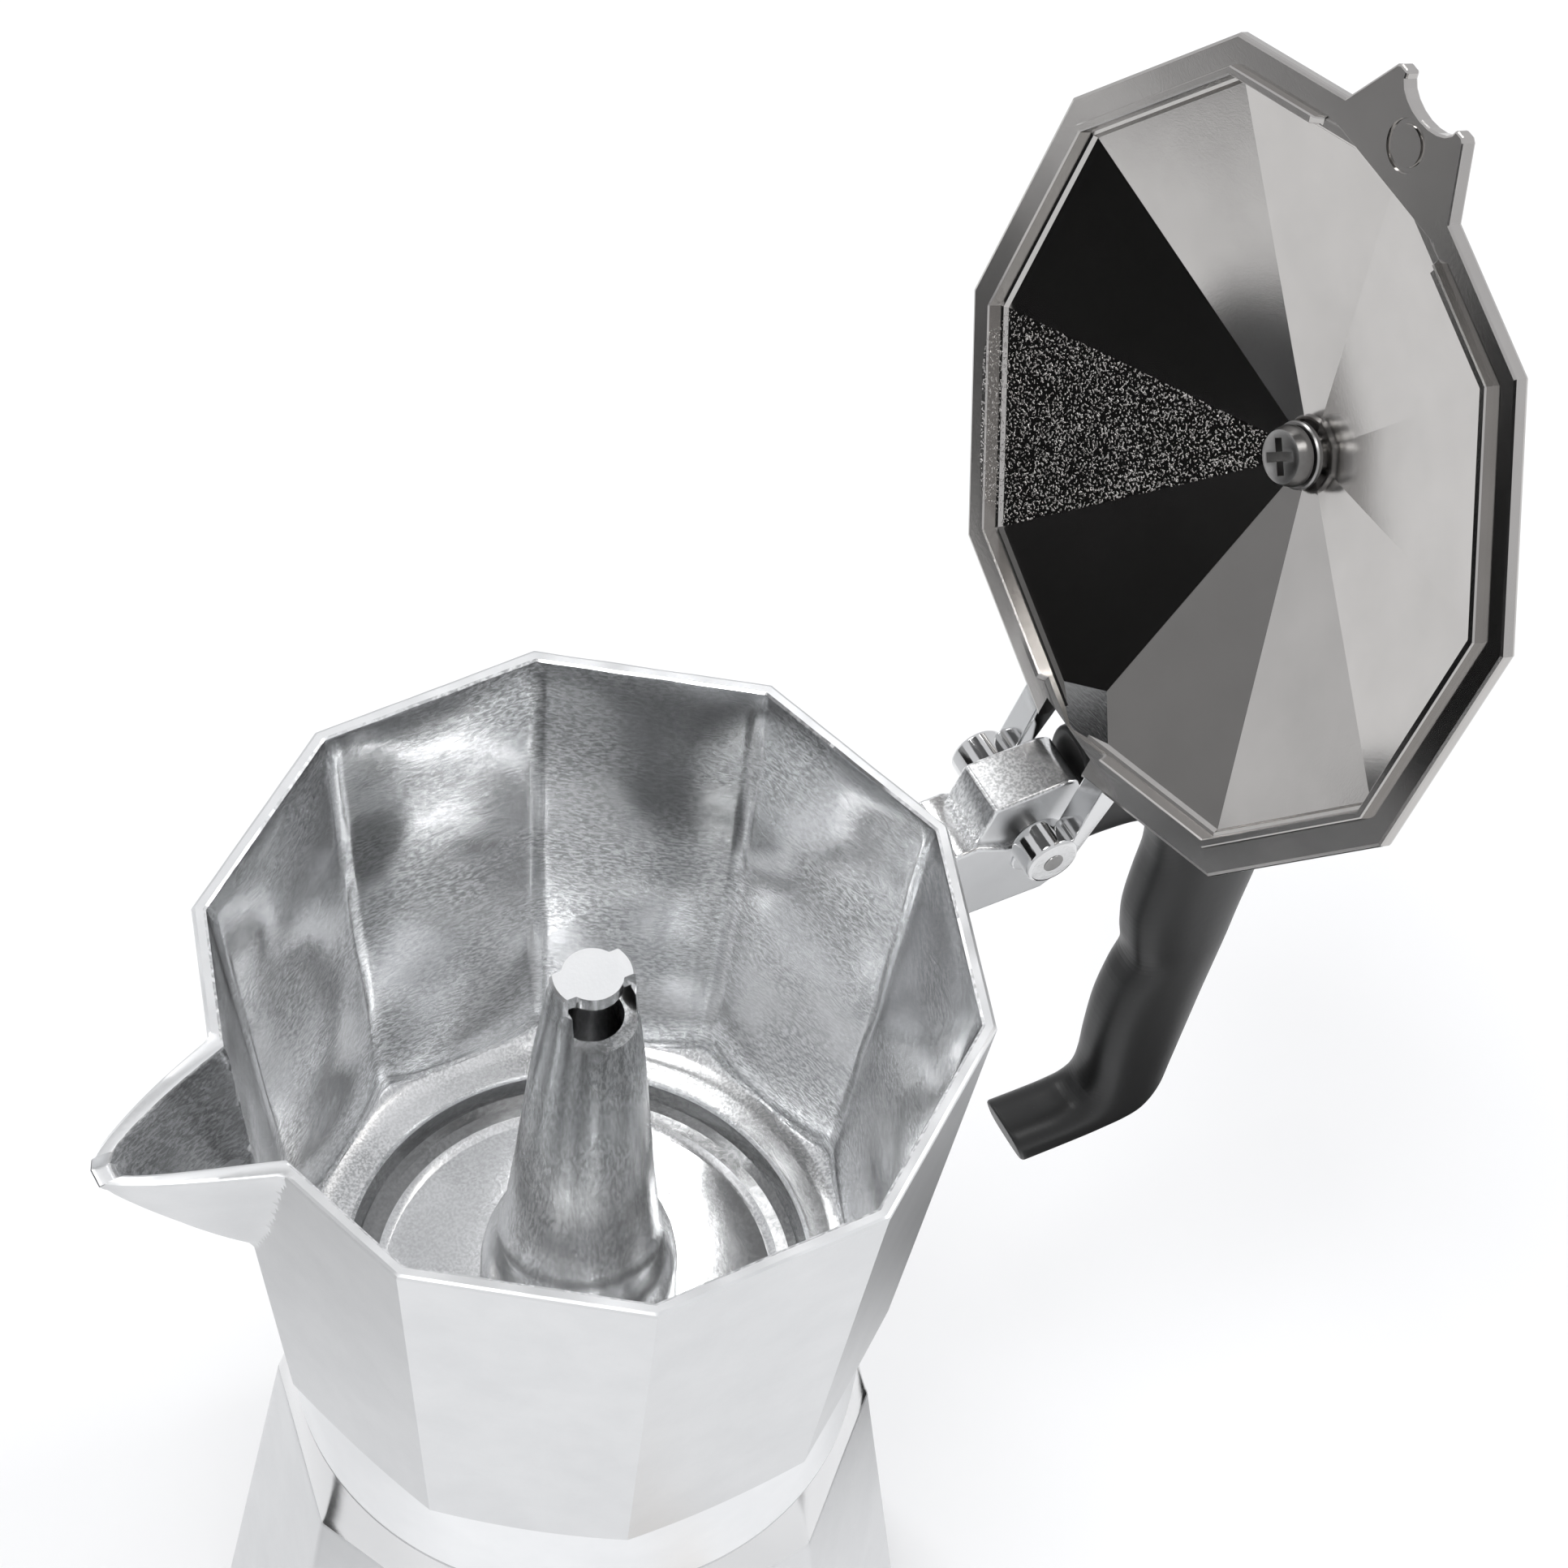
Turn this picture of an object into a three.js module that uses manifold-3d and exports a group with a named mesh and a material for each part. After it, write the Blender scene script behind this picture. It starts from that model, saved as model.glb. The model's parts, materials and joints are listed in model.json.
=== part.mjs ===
// A ten-sided aluminium stovetop moka pot, in millimetres, +Z up.
// The origin is the centre of the flat base. The handle and lid hinge are on +X, the spout on -X.
// The lid is drawn open, resting on the handle's thumb rest.
import * as THREE from "three";
import { mergeVertices } from "three/addons/utils/BufferGeometryUtils.js";
import { ConvexGeometry } from "three/addons/geometries/ConvexGeometry.js";
import Module from "manifold-3d";

const wasm = await Module();
wasm.setup();

// ---- driving dimensions ----
const SIDES = 10; // facets round the body
const GAP = 0.3; // clearance between pieces that touch
const ROUND = 40; // segments round a turned surface

const RIM_Z = 172;
const RIM_R = 50; // corner radius of the rim
const COLLECTOR_WALL = 2;
const COLLAR_Z = 82.3; // lower edge of the collector
const COLLAR_H = 17.5; // up to where the collar flares out under the facets
const COLLAR_WALL = 3;
const COLLAR_TAPER = 0.7; // the collar is this much wider at its top
const WAIST_OUT = 2.2; // the facets' corners stand this far outside the collar
const FLOOR_THICK = 2.2;
const DISH_RISE = 4.2; // the floor's outer ring above its middle
const DISH_W = 5.2; // width of the slope between them
const DISH_IN = 9.9; // from the facets' corners in to the top of the slope
const BOWL_FILLET = 6; // rounding between the ring and the walls

const BOILER_BASE_R = 51; // corner radius of the base
const BOILER_WALL = 2.6;
const BOILER_FLOOR = 3;
const BOILER_TURN = 7; // degrees that the boiler's facets lag the collector's when screwed home
const SHOULDER_RISE = 10.5; // from the end of the facets to the collar
const SHOULDER_OUT = 2.4; // the facets' corners there stand this far outside the collar

const NECK_R = 33.6; // root radius of the thread on the boiler's neck
const NECK_WALL = 2.6;
const NECK_RISE = 7.3; // neck above the collar's lower edge
const THREAD_PITCH = 3;
const THREAD_DEPTH = 1.4;
const THREAD_GAP = 0.5; // radial room between a crest and the root it faces

const FLANGE_THICK = 1; // funnel flange
const FLANGE_ROOM = 0.8; // radial room round the flange and the gasket
const GASKET_THICK = 3.7;
const GASKET_RIM_W = 5.1; // width of the gasket outside the filter plate
const GASKET_SEAT_W = 3.7; // width of the step under the filter plate
const PLATE_THICK = 1;
const FUNNEL_DEPTH = 24;
const FUNNEL_WALL = 1;
const FUNNEL_TAPER = 1;
const FUNNEL_CONE = 6; // height of the cone between basket and tube
const FUNNEL_TUBE_R = 4.6;
const FUNNEL_TUBE_END_Z = 8;
const SCREEN_THICK = 0.8;
const HOLE_R = 0.9; // perforations
const HOLE_RINGS = 3;
const HOLE_EDGE = 2.5; // plain edge outside the perforations

const COLUMN_DROP = 1.6; // top of the column below the rim
const COLUMN_TOP_R = 5.2;
const COLUMN_FOOT_R = 10.8;
const COLUMN_WALL = 1.7;
const COLUMN_SKIRT_W = 2.4;
const COLUMN_CAP_THICK = 1.8;
const COLUMN_CAP_STEP = 1.3; // the cap is this much narrower than the column
const WINDOW_H = 6.8;

const SPOUT_REACH = 16; // tip beyond the rim's corner
const SPOUT_TIP_DROP = 1.8; // the lip falls this much below the rim at the tip
const SPOUT_HALF_W = 10; // half width where the lips leave the rim
const SPOUT_TIP_HALF_W = 1.8;
const SPOUT_DEPTH = 31; // how far the keel runs down the body
const SPOUT_WALL = 1.8;

const HINGE_OUT = 9.6; // hinge axis beyond the rim's corner
const HINGE_DROP = 1.5; // hinge axis below the rim
const PIN_R = 1.4;
const BARREL_R = 3.7;
const BRACKET_W = 10;
const BRACKET_H = 14.5;
const EAR_ROOM = 0.4; // side room between bracket and ears
const EAR_THICK = 4.6;
const KNUCKLE_STEP = 0.9; // the knuckle is narrower than the bracket by this on each side
const KNUCKLE_TOP = 5.4; // above the rim
const KNUCKLE_OUT = 7.2; // end of the knuckle beyond the hinge axis

const LID_OPEN = 110.4; // degrees from closed
const LID_OVER = 0.7; // flange corners beyond the rim's
const LID_THICK = 2;
const LID_FLANGE_W = 5.8;
const LID_APEX = 14.5; // underside of the peak above the rim
const LID_SKIN = 0.7; // the peak's top above its underside
const LID_RIB_ROOM = 1.1; // between the locating rib and the wall
const LID_RIB_WALL = 1;
const LID_RIB_H = 1.4;
const SLOT_IN = 4.2; // inner end of the slot that clears the knuckle, in from the rim's corner
const LUG_REACH = 5.1; // beyond the flange's corner
const LUG_DIMPLE_R = 6.2;

const SCREW_R = 2;
const SCREW_LENGTH = 14; // in the knob
const SCREW_HEAD_R = 3.8;
const SCREW_HEAD_H = 2.2;
const CROSS_W = 0.9;
const WASHER_R = 4.2;
const WASHER_THICK = 0.9;
const KNOB_H = 24;
const KNOB_R = 10;

const HANDLE_EDGE = 2.6; // rounding of the handle's long edges
const TONGUE_W = 4.4;
const TONGUE_LENGTH = 13.2;
const TONGUE_TOP = 2.2; // above the rim
const TONGUE_BOTTOM = 9; // below the rim
const HANDLE_PIN_OUT = 6.7; // beyond the knuckle
const HANDLE_PIN_DROP = 3.4;

const VALVE_ANGLE = -83; // facet that carries the safety valve
const VALVE_Z = 38;
const VALVE_HEX = 6.6; // corner radius of its hexagon
const VALVE_BARREL_R = 4.6;
const VALVE_WASHER = 1;
const VALVE_HEX_H = 5;
const VALVE_BORE_R = 3.2;
const VALVE_SEAT_Z = -2.5;
const VALVE_NUT_H = 3;
const VALVE_TRAVEL_ROOM = 1.3;

// ---- sizes that follow from them ----
const NUT_CREST_R = NECK_R + THREAD_GAP;
const THREAD_CREST_R = NECK_R + THREAD_DEPTH;
const NUT_ROOT_R = THREAD_CREST_R + THREAD_GAP;
const NECK_BORE_R = NECK_R - NECK_WALL;
const NECK_TOP_Z = COLLAR_Z + NECK_RISE;
const COLLAR_R = NUT_ROOT_R + COLLAR_WALL;
const COLLAR_TOP_R = COLLAR_R + COLLAR_TAPER;
const WAIST_R = COLLAR_TOP_R + WAIST_OUT;
const WAIST_Z = COLLAR_Z + COLLAR_H;
const BOILER_SHOULDER_R = COLLAR_R + SHOULDER_OUT;
const BOILER_SHOULDER_Z = COLLAR_Z - SHOULDER_RISE;
const FLANGE_Z = NECK_TOP_Z + GAP;
const FLANGE_R = NUT_CREST_R - FLANGE_ROOM;
const GASKET_Z = FLANGE_Z + FLANGE_THICK + GAP;
const GASKET_TOP_Z = GASKET_Z + GASKET_THICK;
const PLATE_R = FLANGE_R - GASKET_RIM_W;
const GASKET_BORE_R = PLATE_R - GASKET_SEAT_W;
const COLLECTOR_UNDER_Z = GASKET_TOP_Z + GAP;
const FLOOR_Z = COLLECTOR_UNDER_Z + FLOOR_THICK;
const DISH_Z = FLOOR_Z + DISH_RISE;
const DISH_R = WAIST_R - DISH_IN;
const FLOOR_R = DISH_R - DISH_W;
const COLUMN_TOP_Z = RIM_Z - COLUMN_DROP;
const WINDOW_TOP_Z = COLUMN_TOP_Z - COLUMN_CAP_THICK;
const HINGE_X = RIM_R + HINGE_OUT;
const HINGE_Z = RIM_Z - HINGE_DROP;
const KNUCKLE_END_X = HINGE_X + KNUCKLE_OUT;
const TONGUE_END_X = KNUCKLE_END_X + TONGUE_LENGTH;
const HANDLE_FRONT_X = KNUCKLE_END_X + GAP;
const HANDLE_PIN_X = KNUCKLE_END_X + HANDLE_PIN_OUT;
const HANDLE_PIN_Z = RIM_Z - HANDLE_PIN_DROP;
const HANDLE_W = BRACKET_W - EAR_ROOM;
const EAR_INNER_Y = BRACKET_W / 2 + EAR_ROOM;
const EAR_OUTER_Y = EAR_INNER_Y + EAR_THICK;
const LID_R = RIM_R + LID_OVER;
const LID_INNER_R = LID_R - LID_FLANGE_W;
const LID_RIB_R = RIM_R - COLLECTOR_WALL - LID_RIB_ROOM;
const COS_FACET = Math.cos(Math.PI / SIDES);

const rad = THREE.MathUtils.degToRad;

// ---- solids: three.js shapes turned into manifold-3d solids, and back ----
function solid(geometry) {
  const bare = geometry.clone();
  bare.deleteAttribute("normal");
  bare.deleteAttribute("uv");
  const merged = mergeVertices(bare, 1e-4);
  const index = merged.index.array;
  const made = new wasm.Manifold(
    new wasm.Mesh({
      numProp: 3,
      vertProperties: merged.attributes.position.array,
      triVerts: new Uint32Array(index),
    }),
  );
  if (made.volume() >= 0) return made;
  const turned = new Uint32Array(index);
  for (let i = 0; i < turned.length; i += 3) {
    turned[i] = index[i + 1];
    turned[i + 1] = index[i];
  }
  return new wasm.Manifold(
    new wasm.Mesh({
      numProp: 3,
      vertProperties: merged.attributes.position.array,
      triVerts: turned,
    }),
  );
}

function geometryOf(made) {
  const mesh = made.getMesh();
  const position = new Float32Array(mesh.numVert * 3);
  for (let i = 0; i < mesh.numVert; i++) {
    position.set(mesh.vertProperties.subarray(i * mesh.numProp, i * mesh.numProp + 3), i * 3);
  }
  const geometry = new THREE.BufferGeometry();
  geometry.setAttribute("position", new THREE.BufferAttribute(position, 3));
  geometry.setIndex(new THREE.BufferAttribute(mesh.triVerts, 1));
  geometry.computeVertexNormals();
  return geometry;
}

// A closed [radius, z] profile turned about Z. With SIDES segments its corners sit at 0, 36, 72 ... degrees.
function turn(profile, segments = ROUND) {
  const points = profile.map(([r, z]) => new THREE.Vector2(r, z));
  const closed = profile[0][0] > 0 || profile.at(-1)[0] > 0;
  if (closed) points.push(points[0].clone());
  const geometry = new THREE.LatheGeometry(points, segments);
  geometry.rotateX(Math.PI / 2);
  geometry.rotateZ(Math.PI / 2);
  return solid(geometry);
}

// A disc or ring between two heights.
function ring(innerR, outerR, z0, z1, segments = ROUND) {
  if (innerR === 0) return turn([[0, z0], [outerR, z0], [outerR, z1], [0, z1]], segments);
  return turn([[innerR, z0], [outerR, z0], [outerR, z1], [innerR, z1]], segments);
}

function box(x0, x1, y0, y1, z0, z1) {
  const geometry = new THREE.BoxGeometry(x1 - x0, y1 - y0, z1 - z0);
  geometry.translate((x0 + x1) / 2, (y0 + y1) / 2, (z0 + z1) / 2);
  return solid(geometry);
}

// A rod along Y.
function crossRod(x, z, r, y0, y1, segments = 24) {
  const geometry = new THREE.CylinderGeometry(r, r, y1 - y0, segments);
  geometry.translate(x, (y0 + y1) / 2, z);
  return solid(geometry);
}

function hull(points) {
  return solid(new ConvexGeometry(points.map((p) => new THREE.Vector3(...p))));
}

// A shape drawn in X and Z, extruded along Y between y0 and y1.
function slab(shape, y0, y1, options = {}) {
  const geometry = new THREE.ExtrudeGeometry(shape, {
    depth: y1 - y0,
    bevelEnabled: false,
    curveSegments: 6,
    ...options,
  });
  geometry.rotateX(Math.PI / 2);
  geometry.translate(0, y1, 0);
  return solid(geometry);
}

function polygon(points) {
  return new THREE.Shape(points.map(([x, z]) => new THREE.Vector2(x, z)));
}

function applied(made, matrix) {
  const geometry = geometryOf(made);
  geometry.applyMatrix4(matrix);
  return solid(geometry);
}

function joined(first, ...rest) {
  return rest.reduce((sum, next) => sum.add(next), first);
}

function minus(first, ...rest) {
  return rest.reduce((left, next) => left.subtract(next), first);
}

const metal = (color, roughness = 0.35) =>
  new THREE.MeshStandardMaterial({ color, roughness, metalness: 1 });
const plastic = (color, roughness = 0.35) =>
  new THREE.MeshStandardMaterial({ color, roughness, metalness: 0 });
const ALUMINIUM = metal(0xd9dade, 0.32);
const POLISHED = metal(0xe4e5e8, 0.12);
const STEEL = metal(0x8e9094, 0.3);
const BRASS = metal(0xc9a254, 0.3);
const BLACK = plastic(0x1b1b1e, 0.3);
const RUBBER = plastic(0xe8e6df, 0.7);
const FIBRE = plastic(0x9b2f25, 0.8);

function piece(name, made, material) {
  const mesh = new THREE.Mesh(geometryOf(made), material.clone());
  mesh.name = name;
  return mesh;
}

// ---- the screw thread shared by boiler and collector ----
class Helix extends THREE.Curve {
  constructor(r, z, pitch, turns) {
    super();
    Object.assign(this, { r, z, pitch, turns });
  }
  getPoint(t, target = new THREE.Vector3()) {
    const a = 2 * Math.PI * this.turns * t;
    return target.set(this.r * Math.cos(a), this.r * Math.sin(a), this.z + this.pitch * this.turns * t);
  }
  // Frames that keep the section upright: its first axis always points away from Z.
  computeFrenetFrames(segments) {
    const frames = { tangents: [], normals: [], binormals: [] };
    for (let i = 0; i <= segments; i++) {
      const a = (2 * Math.PI * this.turns * i) / segments;
      const rise = this.pitch / (2 * Math.PI);
      const tangent = new THREE.Vector3(-this.r * Math.sin(a), this.r * Math.cos(a), rise).normalize();
      const normal = new THREE.Vector3(Math.cos(a), Math.sin(a), 0);
      frames.tangents.push(tangent);
      frames.normals.push(normal);
      frames.binormals.push(new THREE.Vector3().crossVectors(tangent, normal));
    }
    return frames;
  }
}

// A trapezoid ridge from rootR to crestR along the helix.
function threadRidge(rootR, crestR, z, turns) {
  const half = THREAD_PITCH * 0.3;
  const crestHalf = THREAD_PITCH * 0.14;
  const section = polygon([
    [rootR - crestR, -half],
    [0, -crestHalf],
    [0, crestHalf],
    [rootR - crestR, half],
  ]);
  return solid(
    new THREE.ExtrudeGeometry(section, {
      steps: Math.round(36 * turns),
      bevelEnabled: false,
      extrudePath: new Helix(crestR, z, THREAD_PITCH, turns),
    }),
  );
}

const THREAD_END = 1.6; // plain length at each end of the thread
const THREAD_Z = COLLAR_Z + THREAD_END;
const THREAD_TURNS = (NECK_RISE - 2 * THREAD_END) / THREAD_PITCH;

// ---- boiler ----
const boilerR = (z) =>
  BOILER_BASE_R + ((BOILER_SHOULDER_R - BOILER_BASE_R) * z) / BOILER_SHOULDER_Z;

const SHOULDER_TOP_Z = COLLAR_Z - GAP;

function loftDecagonToCircle(cornerR, z0, circleR, z1) {
  const points = [];
  for (let i = 0; i < SIDES; i++) {
    const a = (2 * Math.PI * i) / SIDES;
    points.push([cornerR * Math.cos(a), cornerR * Math.sin(a), z0]);
  }
  for (let i = 0; i < ROUND; i++) {
    const a = (2 * Math.PI * i) / ROUND;
    points.push([circleR * Math.cos(a), circleR * Math.sin(a), z1]);
  }
  return hull(points);
}

// The facet frame of the safety valve: local +Z points out of the facet.
function valveFrame() {
  const lean = Math.atan(((BOILER_BASE_R - BOILER_SHOULDER_R) * COS_FACET) / BOILER_SHOULDER_Z);
  const r = boilerR(VALVE_Z) * COS_FACET;
  const matrix = new THREE.Matrix4().makeTranslation(
    r * Math.cos(rad(VALVE_ANGLE)),
    r * Math.sin(rad(VALVE_ANGLE)),
    VALVE_Z,
  );
  matrix.multiply(new THREE.Matrix4().makeRotationZ(rad(VALVE_ANGLE)));
  matrix.multiply(new THREE.Matrix4().makeRotationY(Math.PI / 2 - lean));
  return matrix;
}

function boiler() {
  const foot = 1.2;
  const shell = turn(
    [
      [0, 0],
      [BOILER_BASE_R - foot, 0],
      [BOILER_BASE_R, foot],
      [BOILER_SHOULDER_R, BOILER_SHOULDER_Z],
      [0, BOILER_SHOULDER_Z],
    ],
    SIDES,
  );
  const shoulder = loftDecagonToCircle(BOILER_SHOULDER_R, BOILER_SHOULDER_Z - 0.01, COLLAR_R, SHOULDER_TOP_Z);
  const neck = ring(0, NECK_R, SHOULDER_TOP_Z - 1, NECK_TOP_Z);
  const turned = new THREE.Matrix4().makeRotationZ(rad(BOILER_TURN));
  const facets = applied(joined(shell, shoulder), turned);
  const thread = threadRidge(NECK_R - 0.4, THREAD_CREST_R, THREAD_Z, THREAD_TURNS);
  const hollowR = (z) => boilerR(z) * COS_FACET - BOILER_WALL;
  const hollow = turn(
    [
      [0, BOILER_FLOOR],
      [hollowR(BOILER_FLOOR) - 4, BOILER_FLOOR],
      [hollowR(BOILER_FLOOR + 4), BOILER_FLOOR + 4],
      [hollowR(BOILER_SHOULDER_Z - 6), BOILER_SHOULDER_Z - 6],
      [NECK_BORE_R, BOILER_SHOULDER_Z + 4],
      [NECK_BORE_R, NECK_TOP_Z + 1],
      [0, NECK_TOP_Z + 1],
    ],
    ROUND,
  );
  const valveHole = applied(ring(0, VALVE_BARREL_R + GAP, -10, 10, 20), valveFrame());
  return piece("boiler", minus(joined(facets, neck, thread), hollow, valveHole), ALUMINIUM);
}

// ---- safety valve, drawn along local +Z with z = 0 on the facet ----
function valvePieces() {
  const group = new THREE.Group();
  group.applyMatrix4(valveFrame());
  const hexZ = GAP + VALVE_WASHER + GAP;
  const top = hexZ + VALVE_HEX_H;
  const inside = -(BOILER_WALL + 1.2);
  const end = inside - VALVE_NUT_H - 1;
  const body = minus(
    joined(
      ring(0, VALVE_HEX, hexZ, top, 6),
      ring(0, VALVE_BARREL_R, end, hexZ + 1, 20),
    ),
    ring(0, VALVE_BORE_R, VALVE_SEAT_Z, top + 1, 20),
    ring(0, 1.6, end - 1, VALVE_SEAT_Z + 1, 16),
  );
  group.add(piece("safety_valve_body", body, BRASS));
  const washer = ring(VALVE_BARREL_R + GAP, VALVE_HEX, GAP, GAP + VALVE_WASHER, 20);
  group.add(piece("valve_washer", washer, FIBRE));
  const nut = ring(0, VALVE_HEX + 0.4, inside - VALVE_NUT_H, inside, 6);
  const nutBore = ring(0, VALVE_BARREL_R + GAP, end - 1, inside + 1, 20);
  group.add(piece("valve_nut", minus(nut, nutBore), BRASS));
  const poppet = joined(
    ring(0, VALVE_BORE_R - GAP, VALVE_SEAT_Z + GAP, VALVE_SEAT_Z + GAP + 1, 16),
    ring(0, 1, VALVE_SEAT_Z + GAP + 0.5, top + 0.6, 12),
  );
  group.add(piece("valve_poppet", poppet, STEEL));
  const capZ = top - 1.4;
  const cap = ring(1 + GAP, VALVE_BORE_R - GAP / 2, capZ, top - 0.2, 16);
  group.add(piece("valve_cap", cap, BRASS));
  const springZ = VALVE_SEAT_Z + 2 * GAP + 1 + 0.35;
  const springH = capZ - VALVE_TRAVEL_ROOM - springZ - 0.35;
  const wire = new THREE.Shape().absarc(0, 0, 0.35, 0, 2 * Math.PI);
  const coils = 4;
  const spring = solid(
    new THREE.ExtrudeGeometry(wire, {
      steps: 12 * coils,
      curveSegments: 3,
      bevelEnabled: false,
      extrudePath: new Helix(2.1, springZ, springH / coils, coils),
    }),
  );
  group.add(piece("valve_spring", spring, STEEL));
  return group;
}

// ---- funnel, filter plate and gasket ----
const FUNNEL_R = NECK_BORE_R - 2 * GAP;
const BASKET_R = FUNNEL_R - FUNNEL_TAPER; // outside, at the basket's floor
const BASKET_Z = FLANGE_Z + FLANGE_THICK - FUNNEL_DEPTH;
const WALL_SLOPE = 0.6; // extra wall height where basket, cone and tube meet

// Rings of drills over a disc of this radius.
function drills(discR, z0, z1) {
  const spacing = (discR - HOLE_EDGE) / HOLE_RINGS;
  const made = [];
  for (let k = 1; k <= HOLE_RINGS; k++) {
    const count = 6 * k;
    for (let i = 0; i < count; i++) {
      const a = (2 * Math.PI * i) / count;
      const drill = new THREE.CylinderGeometry(HOLE_R, HOLE_R, z1 - z0, 6);
      drill.rotateX(Math.PI / 2);
      drill.translate(k * spacing * Math.cos(a), k * spacing * Math.sin(a), (z0 + z1) / 2);
      made.push(solid(drill));
    }
  }
  return made;
}

function funnel() {
  const top = FLANGE_Z + FLANGE_THICK;
  const boreR = FUNNEL_TUBE_R - FUNNEL_WALL;
  const made = turn([
    [FUNNEL_TUBE_R, FUNNEL_TUBE_END_Z],
    [FUNNEL_TUBE_R, BASKET_Z - FUNNEL_CONE],
    [BASKET_R, BASKET_Z],
    [FUNNEL_R, FLANGE_Z],
    [FLANGE_R, FLANGE_Z],
    [FLANGE_R, top],
    [FUNNEL_R - FUNNEL_WALL, top],
    [BASKET_R - FUNNEL_WALL, BASKET_Z + WALL_SLOPE],
    [boreR, BASKET_Z - FUNNEL_CONE + WALL_SLOPE],
    [boreR, FUNNEL_TUBE_END_Z],
  ]);
  return piece("funnel", made, ALUMINIUM);
}

function funnelScreen() {
  const discR = BASKET_R - FUNNEL_WALL - GAP;
  const z = BASKET_Z + WALL_SLOPE + GAP;
  const disc = ring(0, discR, z, z + SCREEN_THICK);
  return piece("funnel_screen", minus(disc, ...drills(discR, z - 1, z + 2)), ALUMINIUM);
}

function gasket() {
  const step = GASKET_TOP_Z - PLATE_THICK - GAP;
  const made = turn([
    [GASKET_BORE_R, GASKET_Z],
    [FLANGE_R, GASKET_Z],
    [FLANGE_R, GASKET_TOP_Z],
    [PLATE_R + GAP, GASKET_TOP_Z],
    [PLATE_R + GAP, step],
    [GASKET_BORE_R, step],
  ]);
  return piece("gasket", made, RUBBER);
}

function filterPlate() {
  const z = GASKET_TOP_Z - PLATE_THICK;
  const disc = ring(0, PLATE_R, z, GASKET_TOP_Z);
  const cuts = drills(GASKET_BORE_R, z - 1, GASKET_TOP_Z + 1);
  return piece("filter_plate", minus(disc, ...cuts), ALUMINIUM);
}

// ---- collector ----
const bodyR = (z) => RIM_R + ((WAIST_R - RIM_R) * (RIM_Z - z)) / (RIM_Z - WAIST_Z);
const innerR = (z) => bodyR(z) - COLLECTOR_WALL / COS_FACET;

function spoutHull(inset) {
  const tipZ = RIM_Z - SPOUT_TIP_DROP;
  const keel = SPOUT_DEPTH - 2.2 * inset;
  const rootX = -(RIM_R - SPOUT_HALF_W * Math.tan(Math.PI / SIDES));
  const lift = inset > 0 ? 6 : 0; // the channel is open at the top
  const bottomR = bodyR(RIM_Z - keel);
  const inward = inset > 0 ? 8 : 3;
  const points = [];
  for (const side of [-1, 1]) {
    const half = SPOUT_HALF_W - inset;
    const tipHalf = Math.max(SPOUT_TIP_HALF_W - inset, 0.3);
    const tipX = 1.2 * inset - RIM_R - SPOUT_REACH;
    points.push([rootX + inward, side * half, RIM_Z]);
    points.push([rootX, side * half, RIM_Z]);
    points.push([rootX - 13, side * (half * 0.5 + 0.1), RIM_Z - 0.4 * SPOUT_TIP_DROP]);
    points.push([tipX, side * tipHalf, tipZ]);
    if (lift) {
      points.push([rootX + inward, side * half, RIM_Z + lift]);
      points.push([rootX, side * half, RIM_Z + lift]);
      points.push([tipX, side * tipHalf, RIM_Z + lift]);
    }
    points.push([tipX + 1, side * tipHalf * 0.5, tipZ - (inset > 0 ? 1.2 : 4)]);
  }
  points.push([-bottomR + inset * 1.1, 0, RIM_Z - keel]);
  points.push([-bottomR + inward, 0, RIM_Z - keel]);
  return hull(points);
}

// The hinge bracket, the knuckle on top of it and the tongue that the handle slides onto.
function bracketSolids() {
  const z = (height) => RIM_Z + height;
  const earFrontX = HINGE_X - BARREL_R;
  const arm = polygon([
    [bodyR(z(-BRACKET_H)) - 1, z(0.6 - BRACKET_H)],
    [HINGE_X + 2.4, z(-BRACKET_H)],
    [KNUCKLE_END_X, z(2.5 - BRACKET_H)],
    [KNUCKLE_END_X, z(-3.4)],
    [earFrontX, z(-2.4)],
    [RIM_R + 1.7, z(0)],
    [RIM_R - 3, z(0)],
  ]);
  const knuckle = polygon([
    [RIM_R + 1.6, z(-6)],
    [RIM_R + 1.6, z(0)],
    [RIM_R + 3.9, z(KNUCKLE_TOP)],
    [KNUCKLE_END_X - 2.4, z(KNUCKLE_TOP)],
    [KNUCKLE_END_X - 0.6, z(KNUCKLE_TOP - 0.7)],
    [KNUCKLE_END_X, z(KNUCKLE_TOP - 2)],
    [KNUCKLE_END_X, z(-10)],
  ]);
  const tongue = polygon([
    [KNUCKLE_END_X - 2, z(-TONGUE_BOTTOM)],
    [TONGUE_END_X, z(-TONGUE_BOTTOM)],
    [TONGUE_END_X, z(TONGUE_TOP)],
    [KNUCKLE_END_X - 2, z(TONGUE_TOP)],
  ]);
  const knuckleHalf = BRACKET_W / 2 - KNUCKLE_STEP;
  return [
    slab(arm, -BRACKET_W / 2, BRACKET_W / 2),
    slab(knuckle, -knuckleHalf, knuckleHalf),
    slab(tongue, -TONGUE_W / 2, TONGUE_W / 2),
  ];
}

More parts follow.
